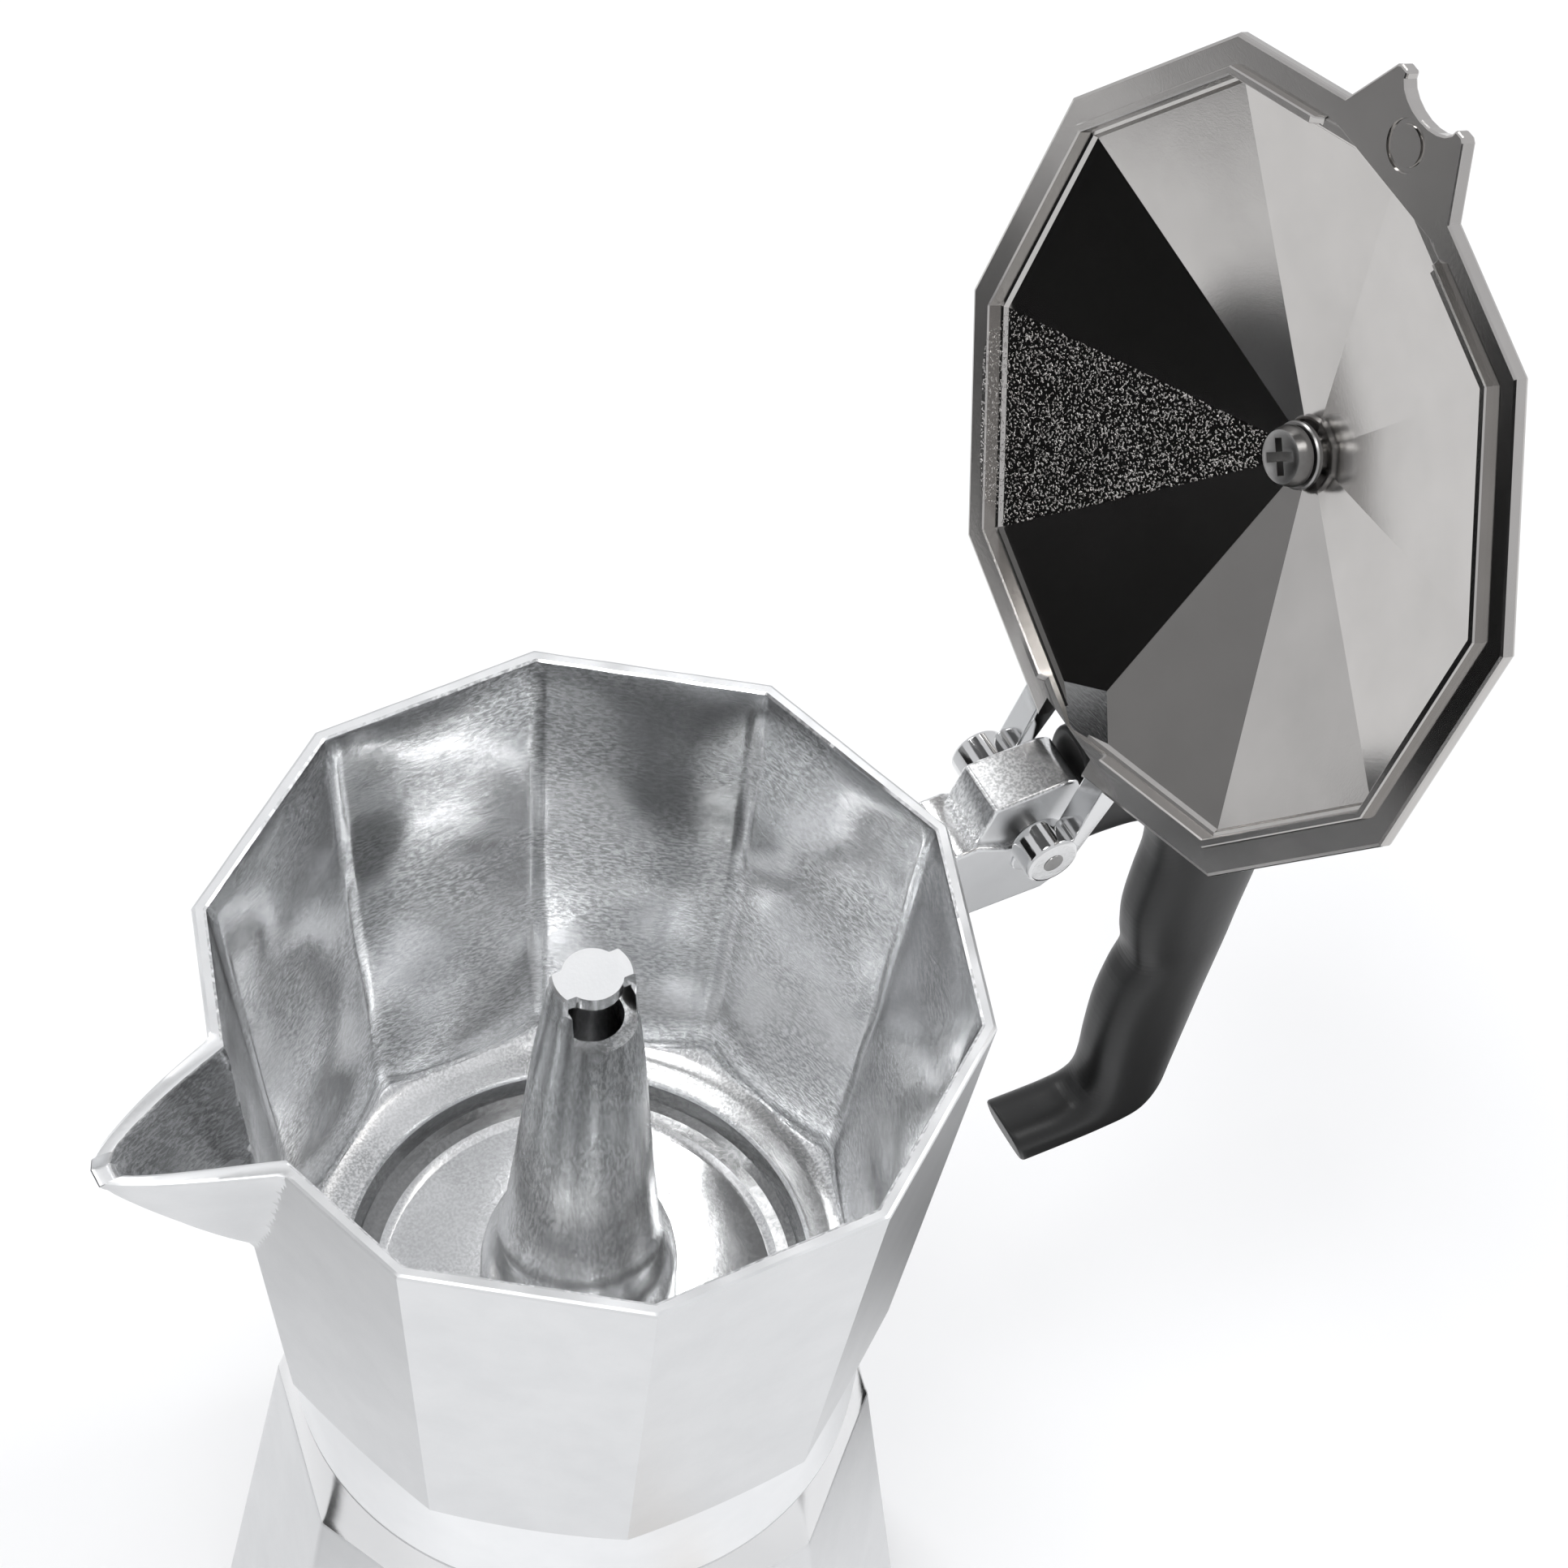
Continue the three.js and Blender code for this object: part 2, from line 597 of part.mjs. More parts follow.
function collector() {
  const facets = turn(
    [
      [0, WAIST_Z - 4],
      [bodyR(WAIST_Z - 4), WAIST_Z - 4],
      [RIM_R, RIM_Z],
      [0, RIM_Z],
    ],
    SIDES,
  );
  const flare = turn([
    [0, WAIST_Z - 5],
    [COLLAR_TOP_R, WAIST_Z - 5],
    [COLLAR_TOP_R, WAIST_Z],
    [COLLAR_TOP_R + 20, WAIST_Z + 20],
    [COLLAR_TOP_R + 20, RIM_Z + 1],
    [0, RIM_Z + 1],
  ]);
  const collar = turn([
    [0, COLLAR_Z],
    [COLLAR_R, COLLAR_Z],
    [COLLAR_TOP_R, WAIST_Z],
    [0, WAIST_Z],
  ]);
  const outer = joined(facets.intersect(flare), collar, spoutHull(0), ...bracketSolids());
  const prism = turn(
    [
      [0, FLOOR_Z - 1],
      [innerR(FLOOR_Z - 1), FLOOR_Z - 1],
      [innerR(RIM_Z + 1), RIM_Z + 1],
      [0, RIM_Z + 1],
    ],
    SIDES,
  );
  const bowlProfile = [[0, FLOOR_Z], [FLOOR_R, FLOOR_Z], [DISH_R, DISH_Z]];
  const filletSteps = 4;
  for (let i = 0; i <= filletSteps; i++) {
    const a = (i / filletSteps) * rad(62);
    bowlProfile.push([
      DISH_R + 1.5 + BOWL_FILLET * Math.sin(a),
      DISH_Z + 0.3 + BOWL_FILLET * (1 - Math.cos(a)),
    ]);
  }
  bowlProfile.push([RIM_R + 10, DISH_Z + 32], [RIM_R + 10, RIM_Z + 2], [0, RIM_Z + 2]);
  const bowl = turn(bowlProfile);
  const recess = ring(0, NUT_CREST_R, COLLAR_Z + 1, COLLECTOR_UNDER_Z);
  const mouth = ring(0, NUT_ROOT_R, COLLAR_Z - 1, NECK_TOP_Z + 0.6);
  const thread = threadCutIn();
  const columnHole = ring(0, COLUMN_FOOT_R + GAP, COLLECTOR_UNDER_Z - 1, FLOOR_Z + 1);
  const pinHole = crossRod(HINGE_X, HINGE_Z, PIN_R + GAP, -20, 20);
  const handleHole = crossRod(HANDLE_PIN_X, HANDLE_PIN_Z, PIN_R + GAP, -20, 20);
  const hollowed = minus(
    outer,
    prism.intersect(bowl),
    spoutHull(SPOUT_WALL),
    recess,
    mouth,
    columnHole,
    pinHole,
    handleHole,
  );
  return piece("collector", joined(hollowed, thread), ALUMINIUM);
}

// The collector's own ridge, half a pitch above the boiler's.
function threadCutIn() {
  const half = THREAD_PITCH * 0.3;
  const crestHalf = THREAD_PITCH * 0.14;
  const reach = NUT_ROOT_R - NUT_CREST_R;
  const section = polygon([
    [0, -crestHalf],
    [reach + 0.4, -half],
    [reach + 0.4, half],
    [0, crestHalf],
  ]);
  const turns = THREAD_TURNS - 0.4;
  return solid(
    new THREE.ExtrudeGeometry(section, {
      steps: Math.round(36 * turns),
      bevelEnabled: false,
      extrudePath: new Helix(NUT_CREST_R, THREAD_Z + THREAD_PITCH / 2, THREAD_PITCH, turns),
    }),
  );
}

function column() {
  const foot = COLLECTOR_UNDER_Z;
  const outerAt = (z) =>
    COLUMN_FOOT_R + ((COLUMN_TOP_R - COLUMN_FOOT_R) * Math.max(z - FLOOR_Z, 0)) / (COLUMN_TOP_Z - FLOOR_Z);
  const shank = turn(
    [
      [0, foot],
      [COLUMN_FOOT_R, foot],
      [COLUMN_FOOT_R, FLOOR_Z + GAP],
      [COLUMN_FOOT_R + COLUMN_SKIRT_W, FLOOR_Z + GAP],
      [COLUMN_FOOT_R + COLUMN_SKIRT_W - 0.5, FLOOR_Z + 9],
      [COLUMN_FOOT_R + 0.2, FLOOR_Z + 12],
      [outerAt(FLOOR_Z + 20), FLOOR_Z + 20],
      [COLUMN_TOP_R + 0.2, COLUMN_TOP_Z - 2],
      [COLUMN_TOP_R, COLUMN_TOP_Z],
      [0, COLUMN_TOP_Z],
    ],
    32,
  );
  const bore = turn(
    [
      [0, foot - 1],
      [COLUMN_FOOT_R - COLUMN_WALL, foot - 1],
      [COLUMN_FOOT_R - COLUMN_WALL, FLOOR_Z + 2],
      [COLUMN_TOP_R + 0.8 - COLUMN_WALL, WINDOW_TOP_Z],
      [0, WINDOW_TOP_Z],
    ],
    24,
  );
  const windowW = 2 * (COLUMN_TOP_R - 1);
  const window = box(-windowW / 2, windowW / 2, -20, 20, WINDOW_TOP_Z - WINDOW_H, WINDOW_TOP_Z);
  const capTrim = ring(COLUMN_TOP_R - COLUMN_CAP_STEP, 20, WINDOW_TOP_Z - 0.1, COLUMN_TOP_Z + 1, 32);
  const posts = box(-20, 20, -2.1, 2.1, WINDOW_TOP_Z - 1, COLUMN_TOP_Z + 2);
  return piece("column", minus(shank, bore, window, capTrim.subtract(posts)), ALUMINIUM);
}

function hingePin() {
  const reach = EAR_OUTER_Y + GAP / 2;
  const made = crossRod(HINGE_X, HINGE_Z, PIN_R, -reach, reach);
  return piece("hinge_pin", made, STEEL);
}

// ---- lid, drawn closed in the frame of the rim, then turned open about the hinge ----
function lidPlate(under, top) {
  const z = (height) => RIM_Z + height;
  return turn(
    [
      [0, z(LID_APEX)],
      [LID_INNER_R, under + 1.4],
      [LID_RIB_R - LID_RIB_WALL, under + 0.6],
      [LID_RIB_R - LID_RIB_WALL, under - LID_RIB_H],
      [LID_RIB_R, under - LID_RIB_H],
      [LID_RIB_R, under],
      [LID_R, under],
      [LID_R, top],
      [LID_INNER_R + 2.2, top + 0.6],
      [5, z(LID_APEX + LID_SKIN)],
      [0, z(LID_APEX + LID_SKIN)],
    ],
    SIDES,
  );
}

// The finger lug over the spout, with a round notch in its edge.
function lidLug(under) {
  const rootX = LID_R - 4.5;
  const rootY = SPOUT_HALF_W + 1.4;
  const tipX = LID_R + LUG_REACH;
  const notchX = tipX - 2.8;
  const lug = new THREE.Shape();
  lug.moveTo(2 - rootX, -rootY);
  lug.lineTo(-rootX, -rootY);
  lug.lineTo(0.4 - tipX, -6.9);
  lug.quadraticCurveTo(-0.3 - tipX, -6, -tipX, -5);
  lug.quadraticCurveTo(-notchX, -4, -notchX, 0);
  lug.quadraticCurveTo(-notchX, 4, -tipX, 5);
  lug.quadraticCurveTo(-0.3 - tipX, 6, 0.4 - tipX, 6.9);
  lug.lineTo(-rootX, rootY);
  lug.lineTo(2 - rootX, rootY);
  const geometry = new THREE.ExtrudeGeometry(lug, {
    depth: LID_THICK,
    bevelEnabled: false,
    curveSegments: 5,
  });
  geometry.translate(0, 0, under);
  const dimple = new THREE.SphereGeometry(LUG_DIMPLE_R, 20, 12);
  dimple.translate(1.5 - LID_R, 0, under + 1 - LUG_DIMPLE_R);
  return solid(geometry).subtract(solid(dimple));
}

function lidEar(side, under, top) {
  const y0 = side < 0 ? -EAR_OUTER_Y : EAR_INNER_Y;
  const rootX = LID_R - 4.5;
  const arm = polygon([
    [rootX - 1.7, under + 0.6],
    [rootX - 1.7, top + 1.4],
    [rootX + 0.8, top + 2],
    [HINGE_X + 0.6, HINGE_Z + BARREL_R - 0.1],
    [HINGE_X, HINGE_Z - 1],
    [HINGE_X - 2.4, HINGE_Z + 0.2],
    [HINGE_X - 3.2, under],
    [rootX, under],
  ]);
  const barrel = crossRod(HINGE_X, HINGE_Z, BARREL_R, y0, y0 + EAR_THICK, 28);
  return slab(arm, y0, y0 + EAR_THICK).add(barrel);
}

function lidSolid() {
  const under = RIM_Z + GAP;
  const top = under + LID_THICK;
  const z = (height) => RIM_Z + height;
  const slotX = RIM_R - SLOT_IN;
  const farX = HINGE_X + 20;
  const lugGap = box(-farX, -LID_INNER_R / 2, -13, 13, z(-5), under);
  const earGap = box(LID_INNER_R / 2, farX, -EAR_INNER_Y - 2, EAR_INNER_Y + 2, z(-5), under);
  const slot = box(slotX, farX, -EAR_INNER_Y, EAR_INNER_Y, z(-8), z(12));
  const padEnd = slotX - 9.4;
  const pad = slab(
    polygon([
      [padEnd, z(4.6)],
      [slotX, under + 0.2],
      [slotX, top + 0.5],
      [padEnd, z(6)],
    ]),
    -6.2,
    6.2,
  );
  const ribbed = minus(joined(lidPlate(under, top), lidLug(under)), lugGap, earGap);
  return minus(
    joined(ribbed, pad, lidEar(-1, under, top), lidEar(1, under, top)),
    slot,
    crossRod(HINGE_X, HINGE_Z, PIN_R + GAP, -20, 20),
    ring(0, SCREW_R + GAP, z(LID_APEX - 8), z(LID_APEX + 8), 16),
  );
}

function knob(z) {
  const made = turn([
    [0, z + SCREW_LENGTH],
    [SCREW_R + GAP, z + SCREW_LENGTH],
    [SCREW_R + GAP, z],
    [KNOB_R * 0.6, z],
    [KNOB_R * 0.56, z + KNOB_H * 0.12],
    [KNOB_R * 0.86, z + KNOB_H * 0.6],
    [KNOB_R, z + KNOB_H * 0.78],
    [KNOB_R * 0.88, z + KNOB_H * 0.93],
    [KNOB_R * 0.6, z + KNOB_H],
    [0, z + KNOB_H],
  ]);
  return piece("knob", made, BLACK);
}

// The screw's head is down inside the lid and its shank runs up into the knob.
function knobScrew(headZ, endZ) {
  const under = headZ - SCREW_HEAD_H;
  const screw = turn(
    [
      [0, under],
      [SCREW_HEAD_R - 0.9, under],
      [SCREW_HEAD_R - 0.2, under + SCREW_HEAD_H * 0.3],
      [SCREW_HEAD_R, headZ],
      [SCREW_R, headZ],
      [SCREW_R, endZ],
      [0, endZ],
    ],
    24,
  );
  const half = CROSS_W / 2;
  const depth = headZ - 0.8;
  return piece(
    "knob_screw",
    minus(
      screw,
      box(-SCREW_R, SCREW_R, -half, half, under - 1, depth),
      box(-half, half, -SCREW_R, SCREW_R, under - 1, depth),
    ),
    STEEL,
  );
}

function lidPieces() {
  const opened = new THREE.Group();
  const pivot = new THREE.Matrix4().makeTranslation(HINGE_X, 0, HINGE_Z);
  pivot.multiply(new THREE.Matrix4().makeRotationY(rad(LID_OPEN)));
  pivot.multiply(new THREE.Matrix4().makeTranslation(-HINGE_X, 0, -HINGE_Z));
  opened.applyMatrix4(pivot);
  const peak = RIM_Z + LID_APEX + LID_SKIN;
  const slope = (LID_APEX - 1.4 - GAP) / LID_INNER_R;
  const washerZ = RIM_Z + LID_APEX - 1.3 * WASHER_R * slope - WASHER_THICK - GAP;
  const washer = ring(SCREW_R + GAP, WASHER_R, washerZ, washerZ + WASHER_THICK, 24);
  opened.add(piece("lid", lidSolid(), ALUMINIUM));
  opened.add(knob(peak + GAP));
  opened.add(piece("knob_washer", washer, STEEL));
  opened.add(knobScrew(washerZ - GAP, peak + SCREW_LENGTH));
  return opened;
}

// ---- handle, drawn from the face that meets the knuckle ----
function handleOutline() {
  const outline = new THREE.Shape();
  const at = (out, height) => [HANDLE_FRONT_X + out, RIM_Z + height];
  outline.moveTo(...at(0, -11.4));
  outline.lineTo(...at(8.4, -11.4));
  outline.quadraticCurveTo(...at(13.9, -12.4), ...at(15.3, -22));
  outline.bezierCurveTo(...at(15.5, -29), ...at(13.1, -34), ...at(13.9, -42));
  outline.quadraticCurveTo(...at(14.3, -47), ...at(15.1, -50));
  outline.bezierCurveTo(...at(11.5, -56), ...at(10.3, -66), ...at(11.5, -74));
  outline.quadraticCurveTo(...at(10.5, -78.4), ...at(6.5, -79));
  outline.lineTo(...at(-1.7, -79.4));
  outline.lineTo(...at(0.5, -86.4));
  outline.lineTo(...at(19.3, -86.6));
  outline.quadraticCurveTo(...at(23.1, -86), ...at(23.9, -82));
  outline.lineTo(...at(35.5, -18));
  outline.quadraticCurveTo(...at(37.3, -3), ...at(25.9, 1));
  outline.quadraticCurveTo(...at(12.9, 3.4), ...at(5.9, 8.4));
  outline.quadraticCurveTo(...at(3.4, 10.4), ...at(1.2, 9.2));
  outline.lineTo(...at(0, 8));
  return outline;
}

function handle() {
  const half = HANDLE_W / 2 - HANDLE_EDGE;
  const body = slab(handleOutline(), -half, half, {
    bevelEnabled: true,
    bevelThickness: HANDLE_EDGE,
    bevelSize: HANDLE_EDGE,
    bevelOffset: -HANDLE_EDGE,
    bevelSegments: 3,
  });
  const socketHalf = TONGUE_W / 2 + GAP;
  const socket = box(
    HANDLE_FRONT_X - 1,
    TONGUE_END_X + GAP,
    -socketHalf,
    socketHalf,
    RIM_Z - TONGUE_BOTTOM - GAP,
    RIM_Z + TONGUE_TOP + GAP,
  );
  const pinHole = crossRod(HANDLE_PIN_X, HANDLE_PIN_Z, PIN_R + GAP, -20, 20);
  return piece("handle", minus(body, socket, pinHole), BLACK);
}

function handlePin() {
  const reach = HANDLE_W / 2 - 0.2;
  return piece("handle_pin", crossRod(HANDLE_PIN_X, HANDLE_PIN_Z, PIN_R, -reach, reach), STEEL);
}

// ---- the whole pot ----
const pot = new THREE.Group();
pot.add(boiler(), valvePieces());
pot.add(funnel(), funnelScreen(), gasket(), filterPlate());
pot.add(collector(), column(), hingePin(), handle(), handlePin());
pot.add(lidPieces());

export default pot;
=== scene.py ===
# %% [markdown]
# # A stovetop moka pot, lid open
# The CAD model fixes every size and joint. This lesson dresses it: cast aluminium, a black moulded
# handle and a studio. Lengths are written in millimetres and turned into metres by MM.

# %% The frame
import json
import math

import bmesh
import bpy
from mathutils import Matrix, Vector, noise


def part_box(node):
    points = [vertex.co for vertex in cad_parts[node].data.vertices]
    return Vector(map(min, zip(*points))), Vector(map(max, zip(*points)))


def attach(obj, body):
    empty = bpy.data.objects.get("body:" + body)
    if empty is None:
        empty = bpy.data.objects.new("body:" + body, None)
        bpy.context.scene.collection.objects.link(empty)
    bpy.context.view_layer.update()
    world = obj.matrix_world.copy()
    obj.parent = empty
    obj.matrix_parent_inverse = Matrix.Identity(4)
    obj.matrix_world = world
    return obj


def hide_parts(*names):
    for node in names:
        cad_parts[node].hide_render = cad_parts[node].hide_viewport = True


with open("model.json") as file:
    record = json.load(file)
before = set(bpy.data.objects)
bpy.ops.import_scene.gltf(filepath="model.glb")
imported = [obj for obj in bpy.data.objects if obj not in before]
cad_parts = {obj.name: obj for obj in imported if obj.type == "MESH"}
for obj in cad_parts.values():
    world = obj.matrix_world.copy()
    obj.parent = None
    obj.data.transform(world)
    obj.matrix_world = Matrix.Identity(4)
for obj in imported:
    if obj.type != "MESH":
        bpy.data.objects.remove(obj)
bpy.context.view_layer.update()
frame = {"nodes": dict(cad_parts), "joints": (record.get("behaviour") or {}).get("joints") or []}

MM = 0.001
joints = {joint["name"]: joint for joint in frame["joints"]}

# %% [markdown]
# The lid's hinge says where the rim is, and the boxes of the parts say the rest. Everything else
# is measured from these few places, so the pieces stay where the CAD parts are.

# %% Driving places
HINGE = Vector(joints["lid_hinge"]["pos_m"]) / MM
HINGE_OUT = 9.6  # hinge axis beyond the rim's corner
HINGE_DROP = 1.5  # and below the rim
RIM_Z = HINGE.z + HINGE_DROP
RIM_R = HINGE.x - HINGE_OUT
COLLAR_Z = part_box("collector")[0].z / MM
BASE_R = 51.0
LID_R = RIM_R + 0.7
ROOF_R = LID_R - 5.8  # where the lid's inside begins, within the rib
LID_OPEN = -joints["lid_hinge"]["range_deg"][0]
SIDES = 10
WEDGE = math.tau / SIDES
print("rim", round(RIM_Z, 2), "mm high,", round(RIM_R, 2), "mm to its corners")

# %% [markdown]
# ## Camera
# A long lens looks down into the pot from the spout side. It is a little rolled, as a camera held
# by hand is. Its place is given from the middle of the rim.

# %% Camera
LENS = 112.05  # millimetres on a 36 mm sensor
CAMERA_FROM_RIM = Vector((-164.84, -298.19, 490.69))
CAMERA_TURN = (36.9446, -3.3469, -28.0394)  # degrees about X, Y and Z
camera_data = bpy.data.cameras.new("camera")
camera_data.lens = LENS
camera_data.sensor_width = 36
camera = bpy.data.objects.new("camera", camera_data)
camera.location = (CAMERA_FROM_RIM + Vector((0, 0, RIM_Z))) * MM
camera.rotation_euler = [math.radians(a) for a in CAMERA_TURN]
bpy.context.scene.collection.objects.link(camera)
bpy.context.scene.camera = camera
print("camera at", [round(v, 3) for v in camera.location])

# %% [markdown]
# ## Shader arithmetic
# A finish is easier to read as a formula than as a web of nodes. Wire wraps one socket, and
# Python's operators add the Math nodes. Finish holds the material and makes any other node.


# %% Wire and Finish
class Wire:
    """One output socket that can be added to, multiplied and compared."""

    def __init__(self, finish, socket):
        self.finish = finish
        self.socket = socket

    def math(self, operation, *values):
        settings = {"operation": operation}
        return self.finish.node("ShaderNodeMath", settings, {i: v for i, v in enumerate(values)})

    def __add__(self, other):
        return self.math("ADD", self, other)

    def __sub__(self, other):
        return self.math("SUBTRACT", self, other)

    def __rsub__(self, other):
        return self.math("SUBTRACT", other, self)

    def __mul__(self, other):
        return self.math("MULTIPLY", self, other)

    def __truediv__(self, other):
        return self.math("DIVIDE", self, other)

    def __gt__(self, other):
        return self.math("GREATER_THAN", self, other)

    def __lt__(self, other):
        return self.math("LESS_THAN", self, other)

    __radd__ = __add__
    __rmul__ = __mul__


class Finish:
    """A material with one Principled shader, and one method that makes every other node."""

    def __init__(self, name):
        self.material = bpy.data.materials.new(name)
        self.material.use_nodes = True
        self.tree = self.material.node_tree
        self.tree.nodes.clear()
        output = self.tree.nodes.new("ShaderNodeOutputMaterial")
        self.shader = self.tree.nodes.new("ShaderNodeBsdfPrincipled")
        self.tree.links.new(self.shader.outputs[0], output.inputs[0])

    def feed(self, node, sockets):
        for name, value in sockets.items():
            if isinstance(value, Wire):
                self.tree.links.new(value.socket, node.inputs[name])
            else:
                node.inputs[name].default_value = value

    def node(self, kind, settings=None, sockets=None, out=0):
        made = self.tree.nodes.new(kind)
        for name, value in (settings or {}).items():
            if name == "stops":
                while len(made.color_ramp.elements) < len(value):
                    made.color_ramp.elements.new(0.5)
                for element, (place, shade) in zip(made.color_ramp.elements, value):
                    element.position = place
                    element.color = (shade, shade, shade, 1)
            else:
                setattr(made, name, value)
        self.feed(made, sockets or {})
        return Wire(self, made.outputs[out])

    def set(self, **sockets):
        names = {name.replace("_", " "): value for name, value in sockets.items()}
        self.feed(self.shader, names)
        return self

    def place(self, scale=(1, 1, 1), turn=(0, 0, 0), centre=(0, 0, 0)):
        """Object coordinates, moved to a centre, turned and scaled."""
        here = self.node("ShaderNodeTexCoord", out=3)
        moved = self.node("ShaderNodeVectorMath", {"operation": "SUBTRACT"}, {0: here, 1: centre})
        sockets = {"Vector": moved, "Rotation": turn, "Scale": scale}
        return self.node("ShaderNodeMapping", {}, sockets)

    def noise(self, size, detail=3, rough=0.5, where=None):
        """Cloudy noise whose lumps are about this many millimetres across, from 0 to 1."""
        where = where or self.place()
        sockets = {"Vector": where, "Scale": 1 / (size * MM), "Detail": detail, "Roughness": rough}
        return self.node("ShaderNodeTexNoise", {}, sockets)

    def ramp(self, factor, *stops):
        return self.node("ShaderNodeValToRGB", {"stops": stops}, {0: factor})

    def mix(self, factor, low, high):
        settings = {"data_type": "RGBA"}
        return self.node("ShaderNodeMix", settings, {0: factor, 6: low, 7: high}, out=2)

    def bump(self, height, depth, strength=1.0, under=None):
        """Relief of this many millimetres on top of another relief."""
        sockets = {"Height": height, "Distance": depth * MM, "Strength": strength}
        if under:
            sockets["Normal"] = under
        return self.node("ShaderNodeBump", {}, sockets)


def grey(level, warmth=0.0):
    return (level * (1 + warmth), level, level * (1 - warmth), 1)


# %% [markdown]
# ## Cast aluminium
# The pot is one alloy with several surfaces. Outside it is blasted and bright. Inside it is bare
# and lightly brushed, and the mould's waviness makes soft pools of light. Low broad bumps bend the
# reflections and fine ones break them up.


# %% Outside and inside of the castings
def blasted(name, level):
    finish = Finish(name)
    pits = finish.noise(0.5, detail=4, rough=0.7)
    waves = finish.noise(16, detail=1)
    stains = finish.noise(9, detail=4, rough=0.6)
    relief = finish.bump(waves, 0.12)
    relief = finish.bump(pits, 0.012, under=relief)
    mottled = finish.ramp(stains, (0.35, 0), (0.7, 1))
    tone = finish.mix(mottled, grey(level, -0.008), grey(level - 0.04, -0.01))
    return finish.set(
        Base_Color=tone,
        Metallic=1.0,
        Roughness=0.3 + 0.14 * pits,
        Normal=relief,
    ).material


def bare_metal(name, wave_size, wave_depth, drag, rough, level=0.88):
    """Bare casting. drag stretches the brush strokes: below 1 on an axis makes them longer."""
    finish = Finish(name)
    waves = finish.noise(wave_size, detail=0)
    grain = finish.noise(0.42, detail=2, rough=0.6, where=finish.place(scale=drag))
    patches = finish.ramp(finish.noise(13, detail=1), (0.4, 0), (0.64, 1))
    worn = finish.ramp(grain, (0.4, 0), (0.6, 1))
    relief = finish.bump(waves, wave_depth)
    relief = finish.bump(finish.noise(2.2, detail=1), 0.02, under=relief)
    relief = finish.bump(grain, 0.008, under=relief)
    tone = finish.mix(worn * (0.3 + 0.6 * patches), grey(level, -0.006), grey(level * 0.55, -0.01))
    return finish.set(
        Base_Color=tone,
        Metallic=1.0,
        Roughness=rough + 0.1 * patches,
        Normal=relief,
    ).material


SATIN = blasted("satin_aluminium", 0.74)
TURNED = blasted("turned_aluminium", 0.9)
BARE = bare_metal("bare_aluminium", 20, 1.9, (0.5, 0.5, 1.2), 0.16, level=0.93)
DRAWN = bare_metal("drawn_aluminium", 9, 0.1, (1.1, 1.1, 0.3), 0.2)
# Painted reflection: the sloping ring round the floor gets a dark base colour, as if it reflected
# a dark part of the room. Its grain and waves are real texture.
DARK_RING_REFLECTION = bare_metal("painted_reflection_aluminium", 9, 0.1, (0.6, 0.6, 1), 0.14, level=0.3)
print("finishes", SATIN.name, BARE.name, DRAWN.name)

# %% [markdown]
# The shoulder of the boiler is turned and buffed, so it is close to a mirror. The lid's inside is
# polished too, but each of its ten faces comes from its own face of the mould, and one of them is
# grainy. A facet's number is worked out from the angle round the lid's axis.


# %% Polished finishes
def polished():
    finish = Finish("polished_aluminium")
    waves = finish.noise(20, detail=1)
    hairs = finish.noise(0.3, detail=3, where=finish.place(scale=(0.3, 0.3, 3)))
    relief = finish.bump(hairs, 0.004, under=finish.bump(waves, 0.1))
    return finish.set(
        Base_Color=grey(0.7, -0.004),
        Metallic=1.0,
        Roughness=0.06 + 0.06 * hairs,
        Normal=relief,
    ).material


def lid_inside():
    finish = Finish("lid_aluminium")
    hinge = HINGE * MM
    place = finish.place(turn=(0, math.radians(-LID_OPEN), 0), centre=hinge)
    x, y = [finish.node("ShaderNodeSeparateXYZ", {}, {0: place}, out=i) for i in range(2)]
    x = x + hinge.x
    angle = x.math("ARCTAN2", y, x)
    grains = finish.noise(0.35, detail=3, rough=0.8)
    waves = finish.noise(22, detail=1)
    clouds = finish.noise(10, detail=4, rough=0.6)
    inside = x * x + y * y < (ROOF_R * MM) ** 2
    grainy = (angle > WEDGE) * (angle < 2 * WEDGE) * inside
    sparks = finish.ramp(finish.noise(0.36, detail=1), (0.57, 0), (0.68, 1))
    relief = finish.bump(waves, 0.08)
    relief = finish.bump(grains, 0.004, under=relief)
    relief = finish.bump(sparks * grainy, 0.09, under=relief)
    tone = finish.mix(clouds, grey(0.52, 0.03), grey(0.43, 0.03))
    return finish.set(
        Base_Color=tone,
        Metallic=1.0,
        Roughness=0.12 + 0.04 * clouds - 0.03 * grainy,
        Normal=relief,
    ).material


POLISHED = polished()
LID_METAL = lid_inside()

# %% [markdown]
# ## Small parts
# The handle is glossy plastic with a faint orange peel. Screw, pins and spring are zinc-plated
# steel, the valve is brass, the seal is white silicone and its washer is red fibre.


# %% Plastic, steel, brass, rubber and fibre
def moulded_plastic():
    finish = Finish("black_plastic")
    across = finish.node("ShaderNodeSeparateXYZ", {}, {0: finish.place()}, out=1).math("ABSOLUTE")
    side = finish.ramp(across / (5 * MM), (0.82, 0), (0.94, 1))
    peel = finish.noise(1.6, detail=2)
    dust = finish.ramp(finish.noise(0.4, detail=1), (0.74, 0), (0.8, 1))
    return finish.set(
        Base_Color=finish.mix(dust, grey(0.008), grey(0.03)),
        Specular_IOR_Level=0.4,
        Roughness=0.12 + 0.26 * side + 0.1 * dust,
        Normal=finish.bump(peel, 0.012),
    ).material


def plated_steel():
    finish = Finish("plated_steel")
    grain = finish.noise(0.4, detail=4, rough=0.7)
    dull = finish.noise(2.5, detail=4, rough=0.6)
    return finish.set(
        Base_Color=finish.mix(dull, grey(0.42, 0.01), grey(0.24, 0.02)),
        Metallic=1.0,
        Roughness=0.22 + 0.2 * dull,
        Normal=finish.bump(grain, 0.01),
    ).material


